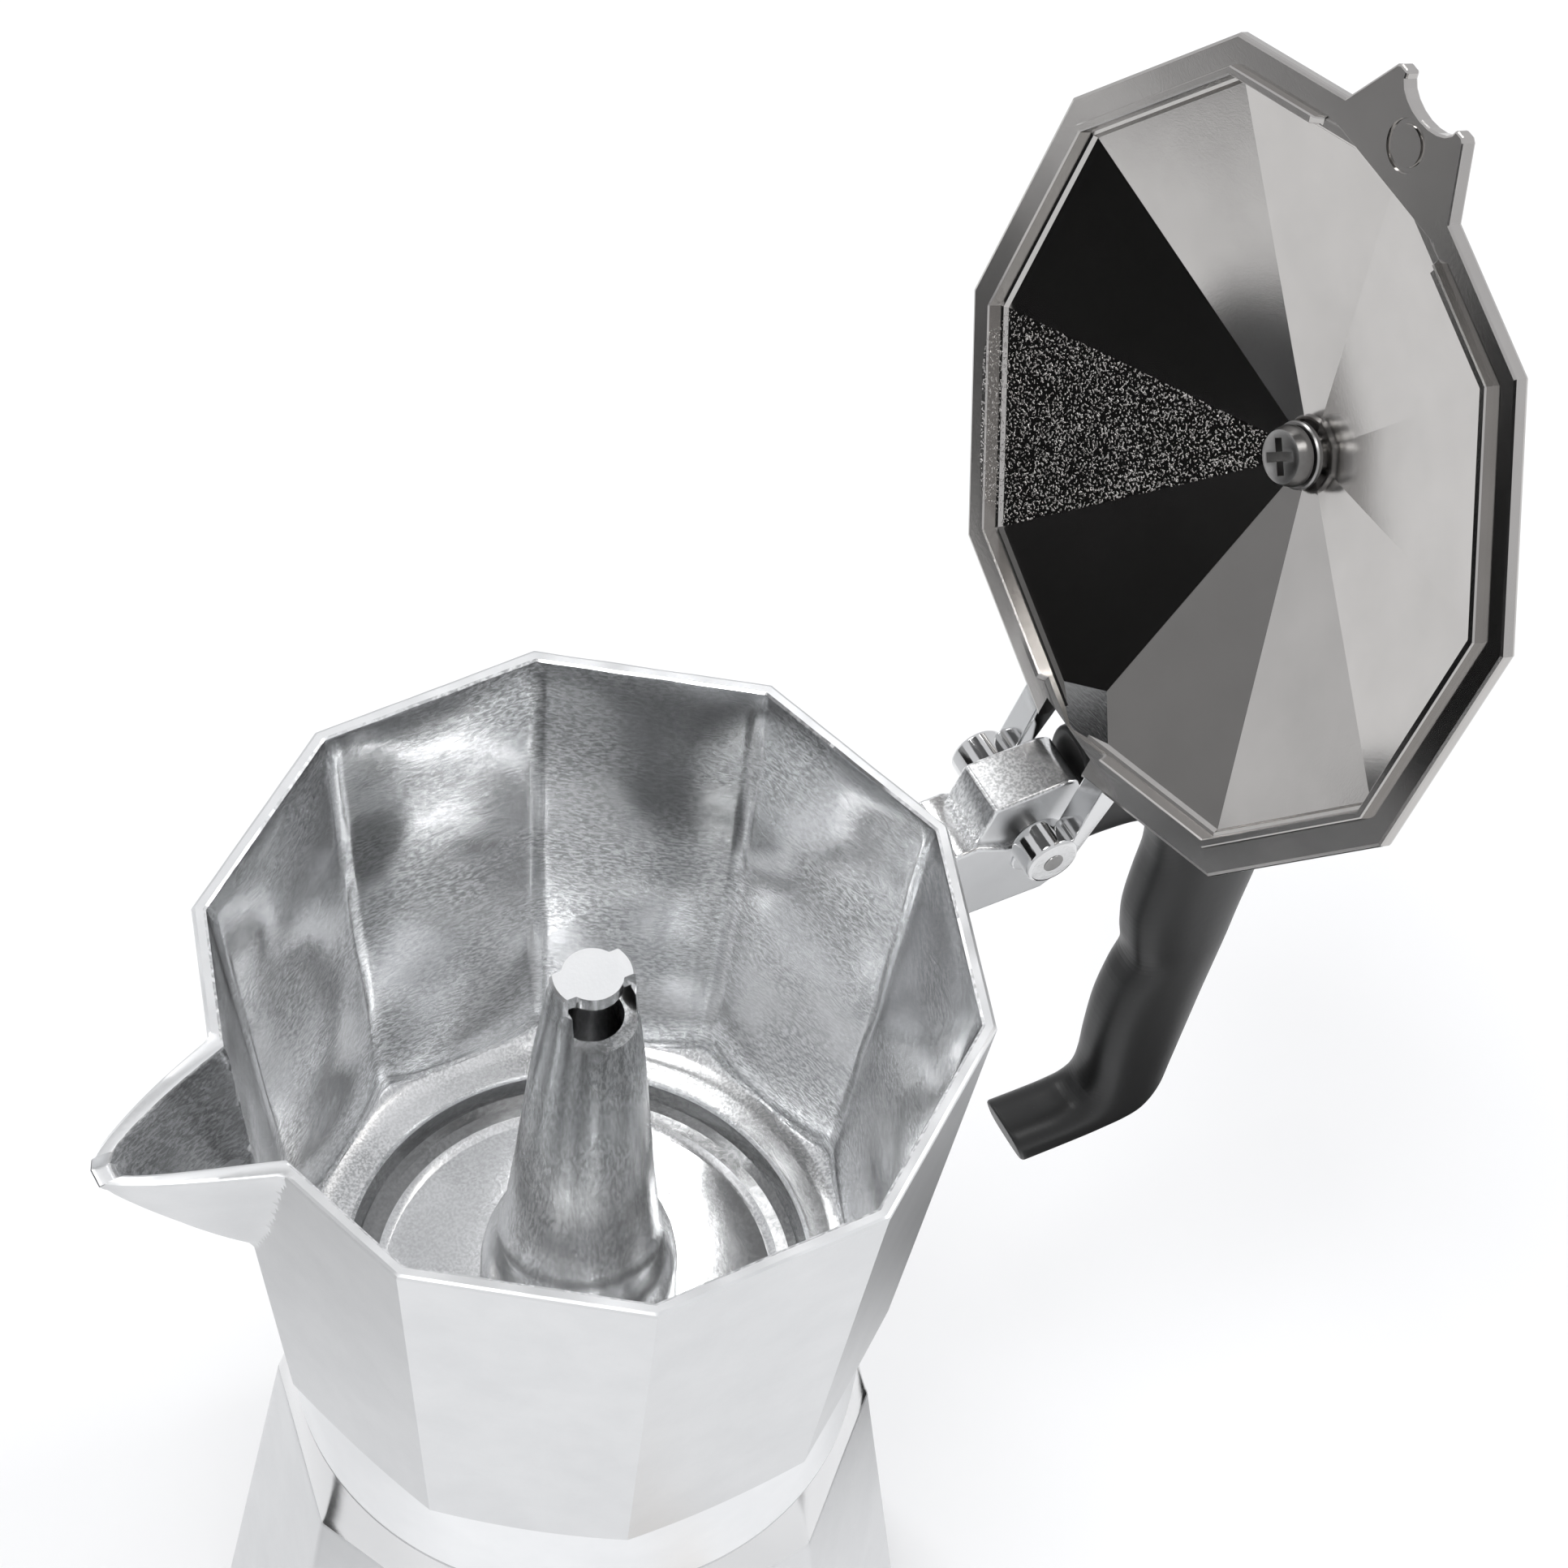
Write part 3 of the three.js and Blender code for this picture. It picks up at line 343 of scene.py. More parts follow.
def turned_brass():
    finish = Finish("turned_brass")
    dull = finish.noise(2, detail=4)
    bright, dark = (0.85, 0.63, 0.3, 1), (0.62, 0.42, 0.17, 1)
    return finish.set(
        Base_Color=finish.mix(dull, bright, dark),
        Metallic=1.0,
        Roughness=0.2 + 0.15 * dull,
        Normal=finish.bump(finish.noise(0.3), 0.006),
    ).material


def silicone():
    finish = Finish("white_silicone")
    cloud = finish.noise(3, detail=3)
    return finish.set(
        Base_Color=finish.mix(cloud, (0.86, 0.85, 0.8, 1), (0.78, 0.76, 0.7, 1)),
        Roughness=0.5 + 0.15 * cloud,
        Normal=finish.bump(finish.noise(0.4, detail=3), 0.02),
    ).material


def pressed_fibre():
    finish = Finish("red_fibre")
    threads = finish.noise(0.4, detail=5, rough=0.7)
    return finish.set(
        Base_Color=finish.mix(threads, (0.45, 0.07, 0.04, 1), (0.28, 0.04, 0.03, 1)),
        Roughness=0.7 + 0.2 * threads,
        Normal=finish.bump(threads, 0.04),
    ).material


PLASTIC = moulded_plastic()
STEEL = plated_steel()
BRASS = turned_brass()
SILICONE = silicone()
FIBRE = pressed_fibre()

# %% [markdown]
# ## Making and fastening pieces
# spun turns a drawn section about Z, as a lathe would. slab draws a side view and gives it a
# width. combined joins or cuts two shapes. finish_piece bakes a shape into an object, marks its
# creases and hangs it on the empty of its body.


# %% Shape helpers
STEPS = 480  # sections round a spun shape: a whole number in each facet


def spun(section, steps=STEPS, turns=1.0, rise=0.0):
    """Spins (radius, height) points about Z. Each vertex remembers its row of the section."""
    bm = bmesh.new()
    row = bm.verts.layers.int.new("row")
    verts = [bm.verts.new((r * MM, 0, z * MM)) for r, z in section]
    for i, vert in enumerate(verts):
        vert[row] = i
    edges = [bm.edges.new(pair) for pair in zip(verts, verts[1:])]
    if section[0][0] > 0 or section[-1][0] > 0:
        edges.append(bm.edges.new((verts[-1], verts[0])))
    whole = turns == 1.0
    bmesh.ops.spin(
        bm,
        geom=verts + edges,
        cent=(0, 0, 0),
        axis=(0, 0, 1),
        dvec=(0, 0, rise * MM / steps),
        angle=math.tau * turns,
        steps=steps,
        use_merge=whole,
    )
    if not whole:
        bmesh.ops.holes_fill(bm, edges=[e for e in bm.edges if e.is_boundary], sides=0)
    bmesh.ops.remove_doubles(bm, verts=bm.verts, dist=1e-7)
    bmesh.ops.recalc_face_normals(bm, faces=bm.faces)
    return bm


def bevelled(bm, edges, width, segments=3):
    """Rounds these edges off by this many millimetres."""
    bmesh.ops.bevel(
        bm,
        geom=edges,
        offset=width * MM,
        offset_type="OFFSET",
        segments=segments,
        profile=0.5,
        affect="EDGES",
        clamp_overlap=True,
        material=-1,
    )
    return bm


def rounded(bm, width, segments=3, over=30):
    """Bevels every edge that bends by more than this many degrees."""
    sharp = [e for e in bm.edges if e.is_manifold and e.calc_face_angle() > math.radians(over)]
    return bevelled(bm, sharp, width, segments)


def extruded(outline, along):
    """A flat outline of (x, y, z) points, grown into a solid along a vector."""
    bm = bmesh.new()
    face = bm.faces.new([bm.verts.new([v * MM for v in point]) for point in outline])
    grown = bmesh.ops.extrude_face_region(bm, geom=[face])["geom"]
    moved = [v for v in grown if isinstance(v, bmesh.types.BMVert)]
    bmesh.ops.translate(bm, verts=moved, vec=[v * MM for v in along])
    bmesh.ops.recalc_face_normals(bm, faces=bm.faces)
    return bm


def slab(outline, low_y, high_y, round_by=0.4):
    """A side view drawn as (x, z) points, given a width along Y and rounded edges."""
    solid = extruded([(x, low_y, z) for x, z in outline], (0, high_y - low_y, 0))
    return rounded(solid, round_by)


def bar(radius, length, matrix, segments=48):
    """A round bar along its own Z, carried to its place by a matrix."""
    bm = bmesh.new()
    bmesh.ops.create_cone(
        bm,
        cap_ends=True,
        segments=segments,
        radius1=radius * MM,
        radius2=radius * MM,
        depth=length * MM,
        matrix=matrix,
    )
    return bm


def drum(x, z, radius, low_y, high_y, round_by=0.3):
    """A round bar along Y with rounded ends."""
    middle = Matrix.Translation((x * MM, (low_y + high_y) / 2 * MM, z * MM))
    lying = Matrix.Rotation(math.pi / 2, 4, "X")
    return rounded(bar(radius, high_y - low_y, middle @ lying), round_by, over=60)


def block(low, high):
    """A plain box between two corners."""
    bm = bmesh.new()
    size = [(b - a) * MM for a, b in zip(low, high)]
    middle = [(a + b) / 2 * MM for a, b in zip(low, high)]
    matrix = Matrix.Translation(middle) @ Matrix.Diagonal((*size, 1))
    bmesh.ops.create_cube(bm, size=1, matrix=matrix)
    return bm


def together(*shapes):
    """Puts several closed shapes into one mesh."""
    whole = bmesh.new()
    for bm in shapes:
        part = bpy.data.meshes.new("part")
        bm.to_mesh(part)
        bm.free()
        whole.from_mesh(part)
        bpy.data.meshes.remove(part)
    return whole


def baked(bm, name):
    """Turns a shape into a new object of the scene."""
    mesh = bpy.data.meshes.new(name)
    bm.to_mesh(mesh)
    bm.free()
    obj = bpy.data.objects.new(name, mesh)
    bpy.context.scene.collection.objects.link(obj)
    return obj


def combined(bm, tool, operation):
    """Joins or cuts one shape with another by Blender's exact Boolean."""
    made = [baked(bm, "shape"), baked(tool, "shape")]
    modifier = made[0].modifiers.new("Boolean", "BOOLEAN")
    modifier.operation = operation
    modifier.solver = "EXACT"
    modifier.object = made[1]
    depsgraph = bpy.context.evaluated_depsgraph_get()
    result = bmesh.new()
    result.from_mesh(made[0].evaluated_get(depsgraph).to_mesh())
    for obj in made:
        mesh = obj.data
        bpy.data.objects.remove(obj)
        bpy.data.meshes.remove(mesh)
    return result


def finish_piece(bm, name, body, material, replaces=(), crease=30, place=None):
    """Makes the object, creases it over this many degrees, hangs it on its body and hides the
    parts it replaces.
    """
    if place is not None:
        bmesh.ops.transform(bm, matrix=place, verts=bm.verts)
    obj = baked(bm, name)
    mesh = obj.data
    mesh.shade_smooth()
    mesh.set_sharp_from_angle(angle=math.radians(crease))
    mesh.materials.append(material)
    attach(obj, body)
    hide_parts(*replaces)
    weighted = obj.modifiers.new("Weighted Normal", "WEIGHTED_NORMAL")
    weighted.keep_sharp = True
    print(name, len(mesh.polygons), "faces")
    return obj


# %% [markdown]
# ## The ten facets
# Every wall is spun round first and then pressed flat ten times. A point half way between two
# corners is pulled in to the facet's middle, and a corner stays where it is.


# %% Pressing facets
def facet_pull(angle, turned=0.0):
    """How far in a facet lies at this angle: 1 at a corner and less between corners."""
    off = (angle - turned) % WEDGE - WEDGE / 2
    return math.cos(WEDGE / 2) / math.cos(off)


def soft_min(a, b, blend):
    """The smaller of two lengths, with a fillet where they cross."""
    near = max(blend - abs(a - b), 0) / blend
    return min(a, b) - near * near * blend / 4


def spun_by_kind(section, press):
    """Spins (radius, height, kind) points, then lets press move each point by its kind."""
    bm = spun([(r, z) for r, z, kind in section])
    row = bm.verts.layers.int["row"]
    for vert in bm.verts:
        r, z, kind = section[vert[row]]
        vert.co = Vector(press(r, z, math.atan2(vert.co.y, vert.co.x), kind)) * MM
    bmesh.ops.recalc_face_normals(bm, faces=bm.faces)
    return bm


# %% [markdown]
# ## The collector
# The upper vessel is one casting: a threaded collar, ten flat sides, a bowl-shaped floor and a
# spout drawn out of one corner. Its section is spun and pressed. Where the flat sides run down
# into the flare above the collar they end in scallops, and inside they end in arcs on the rounded
# bowl.

# %% The collector's section
LEAN = 0.118  # the corners come in by this much per millimetre down
COLLAR_R = 38.5
COLLAR_TOP_R = 39.2
FLARE_Z = COLLAR_Z + 18.4
FLARE_R = 39.55
FLARE_SLOPE = 1.32
FLOOR_Z = COLLAR_Z + 15.1
UNDER_Z = FLOOR_Z - 2.2
DISH_Z = FLOOR_Z + 4.2
DISH_R = 31.5
BOWL_R = 33.0  # where the rounding from ring to wall begins
BOWL_ROUND = 6.0
BOWL_TURN = math.radians(62)
COLUMN_HOLE_R = 11.1
SOCKET_R = 34.1
SOCKET_ROOT_R = 35.5
RIM_EDGE_R = RIM_R - 0.05
RIM_WIDTH = 2.0
WALL = 2.1  # thickness just below the rim
WALL_GAIN, GAIN_DEPTH = 1.6, 65  # the wall is this much thicker this far down
WALL_STEP = 4.0  # between the rings of the lower wall
SPOUT_STEP = 1.4  # and of the upper wall


def outer_corner(z):
    return RIM_R - LEAN * (RIM_Z - z)


def inner_corner(z):
    return outer_corner(z) - WALL - WALL_GAIN * (RIM_Z - z) / GAIN_DEPTH


def scallop_z(pull):
    """The height where the flare meets a facet that is pulled in by this share."""
    at_floor = outer_corner(0) * pull
    return (at_floor + FLARE_SLOPE * FLARE_Z - FLARE_R) / (FLARE_SLOPE - LEAN * pull)


def bowl_r(z):
    """Radius of the rounded bowl at this height."""
    lift = z - DISH_Z - 0.3
    top = BOWL_ROUND * (1 - math.cos(BOWL_TURN))
    if lift >= top:
        return BOWL_R + BOWL_ROUND * math.sin(BOWL_TURN) + (lift - top) / math.tan(BOWL_TURN)
    return BOWL_R + BOWL_ROUND * math.sin(math.acos(1 - max(lift, 0) / BOWL_ROUND))


def wall_heights():
    """Heights of the rings up the wall, closer together where the spout is drawn out."""
    low = [scallop_z(1.0) + 1.2 + WALL_STEP * i for i in range(9)]
    high = [low[-1] + SPOUT_STEP * (i + 1) for i in range(24)]
    return low + [z for z in high if z < RIM_Z - 1]


def collector_section():
    rows = [
        (COLLAR_R - 0.5, COLLAR_Z, "round"),
        (COLLAR_R, COLLAR_Z + 0.5, "round"),
        (COLLAR_TOP_R, FLARE_Z - 1.2, "round"),
        (COLLAR_TOP_R + 0.06, FLARE_Z - 0.5, "round"),
        (outer_corner(FLARE_Z), FLARE_Z, "scallop"),
    ]
    rows += [(outer_corner(z), z, "outer") for z in wall_heights()]
    lip = ((0.6, 0), (0.18, 0.14), (0, 0.5), (0, 1.5), (0.18, 1.86), (0.6, RIM_WIDTH))
    rows += [(RIM_EDGE_R - inward, RIM_Z - drop, "rim") for drop, inward in lip]
    rows += [(inner_corner(z), z, "inner") for z in reversed(wall_heights()) if z > DISH_Z + 14]
    lifts = [13, 11, 9.4, 8, 7, 6.2] + [5.6 - 0.2 * i for i in range(24)]
    lifts += [0.3 + BOWL_ROUND * (1 - math.cos(BOWL_TURN * i / 7)) for i in (2, 1)]
    rows += [(bowl_r(DISH_Z + lift), DISH_Z + lift, "bowl") for lift in lifts]
    rows += [
        (DISH_R + 0.5, DISH_Z + 0.1, "round"),
        (DISH_R, DISH_Z, "round"),
        (DISH_R - 0.5, DISH_Z - 0.5, "round"),
        (DISH_R - 1.5, FLOOR_Z + 1.7, "round"),
        (DISH_R - 2.6, FLOOR_Z + 0.9, "round"),
        (DISH_R - 4.2, FLOOR_Z + 0.7, "round"),
        (DISH_R - 4.9, FLOOR_Z + 0.2, "round"),
        (DISH_R - 5.4, FLOOR_Z, "round"),
        (20, FLOOR_Z + 0.25, "round"),
        (COLUMN_HOLE_R, FLOOR_Z + 0.1, "round"),
        (COLUMN_HOLE_R, UNDER_Z, "round"),
        (SOCKET_R, UNDER_Z, "round"),
        (SOCKET_R, COLLAR_Z + 8, "round"),
        (SOCKET_ROOT_R, COLLAR_Z + 7.4, "round"),
        (SOCKET_ROOT_R, COLLAR_Z + 0.8, "round"),
        (SOCKET_ROOT_R + 0.7, COLLAR_Z, "round"),
    ]
    return rows


section = collector_section()
print("collector section of", len(section), "points, scallops at", round(scallop_z(1.0), 1))

# %% [markdown]
# The spout is a beak drawn out of the corner opposite the hinge. Looked at from above, each side
# of it is a slightly bowed leg that runs from the wall to a blunt tip, and its keel slopes back
# down to the corner's edge. The inner wall follows with its own, smaller beak, which leaves the
# channel.

# %% Drawing out the spout
SPOUT_FOOT_Z = RIM_Z - 31.5
SPOUT_HALF = 11.0
SPOUT_TIP = 16.0  # beyond the rim's corner, less the blunt end
SPOUT_LIP = 1.8
CHANNEL_FOOT = 3.4  # the channel starts this much higher than the keel
TIP_BLUNT = 0.13  # share of the width that the blunt tip takes
LEG_BOW = 1.32  # 1 would be straight legs
TIP_DROP = 1.5
DROP_DEPTH = 4.0  # the tip sinks only this far below the rim
NOSE_HALF = 1.7
NOSE_DROP = 1.1


def drawn_spout(x, y, z, depth):
    """Where a wall point lands. depth is 0 on the outer wall and 1 on the inner one."""
    foot = SPOUT_FOOT_Z + CHANNEL_FOOT * depth
    share_up = (z - foot) / (RIM_Z - foot)
    if x > 0 or share_up <= 0:
        return x, y, z
    half = SPOUT_HALF * share_up**0.8 - 1.2 * SPOUT_LIP * depth
    if abs(y) >= half:
        return x, y, z
    corner = outer_corner(z) * (1 - depth) + inner_corner(z) * depth
    root = -(corner - half * math.tan(WEDGE / 2))
    reach = soft_min(1.08 * share_up, 1.0, 0.12)
    tip = -(outer_corner(z) + (SPOUT_TIP + LEAN * (RIM_Z - z)) * reach) + 1.35 * SPOUT_LIP * depth
    leg = max(abs(y) / half - TIP_BLUNT, 0) / (1 - TIP_BLUNT)
    share_out = 1 - leg**LEG_BOW
    near_rim = min(max((z - RIM_Z + DROP_DEPTH) / DROP_DEPTH, 0), 1)
    drop = TIP_DROP * share_out**2 * near_rim
    if abs(y) < NOSE_HALF and share_out > 0.8:
        drop += NOSE_DROP * near_rim
    return root + (tip - root) * share_out, y, z - drop


# %% [markdown]
# press gives each kind of point its own rule. Inside, the corners between facets are filleted, and
# a fine bead runs along the arcs where wall and bowl meet, as the mould left it. The rim is never
# quite even, which a little noise imitates.

# %% Pressing the collector
FILLET = math.radians(1.8)
FILLET_SHARE = 0.007  # of the radius
BOWL_BLEND = 0.4
BEAD = 0.22
BEAD_HALF = 0.6
RIPPLE = 0.1
RIPPLE_RATE = 9


def press_collector(r, z, angle, kind):
    pull = facet_pull(angle)
    depth = 1.0 if kind in ("inner", "bowl") else 0.0
    to_corner = abs((angle + WEDGE / 2) % WEDGE - WEDGE / 2)
    if depth:
        pull -= FILLET_SHARE * max(1 - to_corner / FILLET, 0) ** 2
    if kind == "scallop":
        z = scallop_z(pull)
        r = outer_corner(z) * pull
    elif kind == "bowl":
        gap = inner_corner(z) * pull - bowl_r(z)
        r = soft_min(inner_corner(z) * pull, bowl_r(z), BOWL_BLEND)
        r -= BEAD * max(1 - abs(gap) / BEAD_HALF, 0) ** 2
    elif kind in ("outer", "inner", "rim"):
        r *= pull
    if kind == "rim":
        depth = min(max((RIM_EDGE_R - r / pull) / RIM_WIDTH, 0), 1)
        around = (math.cos(angle) * RIPPLE_RATE, math.sin(angle) * RIPPLE_RATE)
        z += RIPPLE * noise.noise(Vector((*around, depth)))
    x, y = r * math.cos(angle), r * math.sin(angle)
    if kind in ("outer", "inner", "rim"):
        return drawn_spout(x, y, z, depth)
    return x, y, z


collector = spun_by_kind(section, press_collector)
shell = finish_piece(
    collector, "collector_shell", "collector", SATIN, ["collector"], crease=24
)

# %% [markdown]
# The casting is blasted outside and bare inside, its floor is drawn, and its collar is turned. The
# sloping ring round the floor is painted dark, a painted reflection of a dark part of the room.
# Each finish is one more material slot, and dress picks the faces for it by where they lie and
# where they look: the inside is what looks at the pot's axis, below the rim.


# %% Several finishes on one casting
def dress(obj, material, chosen):
    """Gives a second finish to the faces that are chosen by their middle and normal."""
    obj.data.materials.append(material)
    faces = [f for f in obj.data.polygons if chosen(f.center / MM, f.normal)]
    for face in faces:
        face.material_index = len(obj.data.materials) - 1
    print(obj.name, "has", len(faces), "faces of", material.name)


def in_the_bowl(middle, normal):
    outward = normal.x * middle.x + normal.y * middle.y
    r = math.hypot(middle.x, middle.y)
    above = FLOOR_Z - 0.5 < middle.z < RIM_Z - 0.05
    return above and (outward < -0.3 * r or (normal.z > 0.3 and r < 40))


def on_the_floor(middle, normal):
    return FLOOR_Z - 0.5 < middle.z < DISH_Z + 4 and normal.z > 0.45


def on_the_ring(middle, normal):
    r = math.hypot(middle.x, middle.y)
    return FLOOR_Z + 0.5 < middle.z < DISH_Z - 0.3 and DISH_R - 5.0 < r < DISH_R - 0.2


def on_the_collar(middle, normal):
    return middle.z < FLARE_Z and math.hypot(middle.x, middle.y) > SOCKET_ROOT_R + 1


dress(shell, BARE, in_the_bowl)
dress(shell, DRAWN, on_the_floor)
# The ring's dark colour is a painted reflection.
dress(shell, DARK_RING_REFLECTION, on_the_ring)
dress(shell, TURNED, on_the_collar)

# %% [markdown]
# ## The hinge bracket
# The bracket grows out of the corner of the rim. It carries the knuckle, whose top is left rough
# from the mould, a round stop beside the ear, and the tongue that the handle slides onto.

# %% Bracket, knuckle and tongue
BRACKET_HALF = 5.0
KNUCKLE_HALF = 4.1
KNUCKLE_END = HINGE.x + 7.2


def above_rim(points):
    return [(x, RIM_Z + z) for x, z in points]


arm = slab(
    above_rim(
        [
            (46.4, -13.9),
            (HINGE.x + 2.4, -14.5),
            (KNUCKLE_END, -12.0),
            (KNUCKLE_END, -3.4),
            (HINGE.x - 3.8, -2.4),
            (RIM_R + 1.7, -0.1),
            (RIM_R - 1.85, -0.1),
        ]
    ),
    -BRACKET_HALF,
    BRACKET_HALF,
    0.5,
)
knuckle = slab(
    above_rim(
        [
            (RIM_R + 1.6, -6),
            (RIM_R + 1.6, -0.4),
            (RIM_R + 3.9, 5.4),
            (KNUCKLE_END - 2.6, 5.4),
            (KNUCKLE_END - 0.7, 4.8),
            (KNUCKLE_END, 3.0),
            (KNUCKLE_END, -10),
        ]
    ),
    -KNUCKLE_HALF,
    KNUCKLE_HALF,
    0.55,
)
tongue = slab(
    above_rim([(64.8, -9), (80, -9), (80, 2.2), (64.8, 2.2)]),
    -2.2,
    2.2,
)
stop = drum(HINGE.x - 0.5, RIM_Z - 5.8, 2.4, -BRACKET_HALF - 0.36, -BRACKET_HALF + 1)
bracket = together(arm, knuckle, tongue, stop)
bracket = finish_piece(bracket, "hinge_bracket", "collector", DRAWN)
dress(bracket, SATIN, lambda middle, normal: abs(normal.y) > 0.9)

# %% [markdown]
# ## The column
# Coffee rises through the column and leaves by two windows under its cap. The tube is spun with
# its bore, and the windows and the step round the cap are cut out.

# %% Column
COLUMN_TOP = RIM_Z - 1.6
CAP_R = 3.9
WINDOW_TOP = COLUMN_TOP - 2.2
WINDOW_SILL = WINDOW_TOP - 6.4
column = spun(
    [
        (10.8, UNDER_Z),
        (10.8, FLOOR_Z + 0.3),
        (13.0, FLOOR_Z + 0.3),
        (13.2, FLOOR_Z + 0.6),
        (13.1, FLOOR_Z + 7),
        (12.7, FLOOR_Z + 9.6),
        (11.9, FLOOR_Z + 12.4),
        (11.0, FLOOR_Z + 14.6),
        (10.5, FLOOR_Z + 16.2),
        (10.2, FLOOR_Z + 18.2),
        (9.0, RIM_Z - 43),
        (7.2, RIM_Z - 20),
        (5.5, RIM_Z - 5),
        (5.3, COLUMN_TOP - 0.3),
        (5.0, COLUMN_TOP),
        (0, COLUMN_TOP),
        (0, WINDOW_TOP),
        (4.0, WINDOW_TOP),
        (4.2, WINDOW_SILL),
        (9.1, FLOOR_Z + 2),
        (9.1, UNDER_Z),
    ],
    steps=120,
)
WINDOW_HALF = 4.35
POST_HALF = 2.1
BEYOND = 20  # a tool ends well outside the tube
window = block((-WINDOW_HALF, -BEYOND, WINDOW_SILL), (WINDOW_HALF, BEYOND, WINDOW_TOP + 0.02))
column = combined(column, window, "DIFFERENCE")
TRIM_Z = WINDOW_TOP - 0.6
trim = spun([(CAP_R, TRIM_Z), (9, TRIM_Z), (9, RIM_Z), (CAP_R, RIM_Z)], steps=120)
posts = block((-BEYOND, -POST_HALF, WINDOW_TOP - 2), (BEYOND, POST_HALF, RIM_Z + 1))
column = combined(column, combined(trim, posts, "DIFFERENCE"), "DIFFERENCE")
tube = finish_piece(column, "column_tube", "collector", DRAWN, ["column"], crease=35)
dress(tube, SATIN, lambda middle, normal: middle.z > WINDOW_TOP and normal.z > 0.5)

# %% [markdown]
# ## The boiler
# The boiler's facets lean the other way and lag the collector's by a few degrees, because the
# thread stops there. Above them a buffed shoulder runs from the ten straight edges into the round
# collar. A bore for the safety valve is cut last, along the valve's own axis.

# %% Boiler
BOILER_TURN = math.radians(7)
SHOULDER_Z = COLLAR_Z - 10.5
SHOULDER_R = 40.9
SHOULDER_TOP = COLLAR_Z - 0.3
NECK_TOP = COLLAR_Z + 7.3
NECK_R = 33.6
NECK_BORE = 31.0


def boiler_corner(z):
    return BASE_R + (SHOULDER_R - BASE_R) * z / SHOULDER_Z


def boiler_section():
    rows = [(0, 0, "round"), (BASE_R - 7, 0, "facet"), (BASE_R - 1.6, 0, "facet")]
    rows += [(BASE_R - 0.4, 0.5, "facet"), (BASE_R - 0.05, 1.4, "facet")]
    rows += [(boiler_corner(z), z, "facet") for z in (6, 20, 36, 52, SHOULDER_Z - 0.4)]
    rows += [(SHOULDER_R - 0.1, SHOULDER_Z, "shoulder")]
    for i in range(1, 7):
        share = i / 6
        z = SHOULDER_Z + (SHOULDER_TOP - SHOULDER_Z) * share
        rows.append((SHOULDER_R - 0.1 + (COLLAR_R - SHOULDER_R) * share, z, "shoulder"))
    rows += [
        (NECK_R, SHOULDER_TOP, "round"),
        (NECK_R, NECK_TOP - 0.5, "round"),
        (NECK_R - 0.5, NECK_TOP, "round"),
        (NECK_BORE + 0.4, NECK_TOP, "round"),
        (NECK_BORE, NECK_TOP - 0.4, "round"),
        (NECK_BORE, SHOULDER_Z + 4, "round"),
        (36.9, SHOULDER_Z - 6, "round"),
        (44.9, 7, "round"),
        (41.5, 3, "round"),
        (0, 3, "round"),
    ]
    return rows


def press_boiler(r, z, angle, kind):
    pull = facet_pull(angle, BOILER_TURN)
    if kind == "facet":
        r *= pull
    elif kind == "shoulder":
        share = (z - SHOULDER_Z) / (SHOULDER_TOP - SHOULDER_Z)
        r *= pull * (1 - share) + share
    return r * math.cos(angle), r * math.sin(angle), z


boiler = spun_by_kind(boiler_section(), press_boiler)
VALVE_BORE_R = 4.7
VALVE_BORE_LENGTH = 24
valve_low, valve_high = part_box("valve_washer")
valve_axis = Vector(joints["valve_lift"]["axis"])
valve_middle = Matrix.Translation((valve_low + valve_high) / 2)
valve_turn = valve_axis.to_track_quat("Z", "Y").to_matrix().to_4x4()
bore = bar(VALVE_BORE_R, VALVE_BORE_LENGTH, valve_middle @ valve_turn, segments=64)
boiler = combined(boiler, bore, "DIFFERENCE")
vessel = finish_piece(boiler, "boiler_shell", "boiler", SATIN, ["boiler"], crease=24)
dress(vessel, POLISHED, lambda middle, normal: SHOULDER_Z - 0.1 < middle.z < COLLAR_Z)

# %% [markdown]
# The thread is a ridge spun about Z while it climbs: three millimetres a turn, right-handed. The
# collar has a matching ridge half a turn's climb higher, so the two run past each other.

# %% Threads
PITCH = 3.0
THREAD_Z = COLLAR_Z + 1.6
THREAD_CLIMB = 4.1
THREAD_TURNS = THREAD_CLIMB / PITCH
ROOT_HALF, CREST_HALF = 0.9, 0.42
CREST_R = 35.0


def ridge(root, crest, z, turns):
    foot = [(root, z - ROOT_HALF), (crest, z - CREST_HALF)]
    section = foot + [(crest, z + CREST_HALF), (root, z + ROOT_HALF)]
    return spun(section, steps=round(120 * turns), turns=turns, rise=PITCH * turns)


outer_ridge = ridge(NECK_R - 0.4, CREST_R, THREAD_Z, THREAD_TURNS)
finish_piece(outer_ridge, "neck_thread", "boiler", POLISHED)
inner_ridge = ridge(SOCKET_ROOT_R + 0.4, SOCKET_R, THREAD_Z + PITCH / 2, THREAD_TURNS - 0.4)
finish_piece(inner_ridge, "collar_thread", "collector", POLISHED)

# %% [markdown]
# ## The lid
# The lid is modelled closed, lying on the rim, and then swung open about the hinge, so that its
# plate, knob and screw share one motion. Its underside is a shallow ten-sided roof with a locating
# rib that stops beside the lug and at the hinge.

# %% Lid plate
UNDER = RIM_Z + 0.3
TOP = UNDER + 2.0
RIB_OUT = RIM_R - 3.1
RIB_IN = RIB_OUT - 1.1
APEX = RIM_Z + 14.5
RIB_GAP_AT_LUG, RIB_GAP_AT_EARS = 12.5, 7.4  # half widths
EAR_IN, EAR_OUT = 5.4, 10.0
SWING = (
    Matrix.Translation(HINGE * MM)
    @ Matrix.Rotation(math.radians(LID_OPEN), 4, "Y")
    @ Matrix.Translation(-HINGE * MM)
)


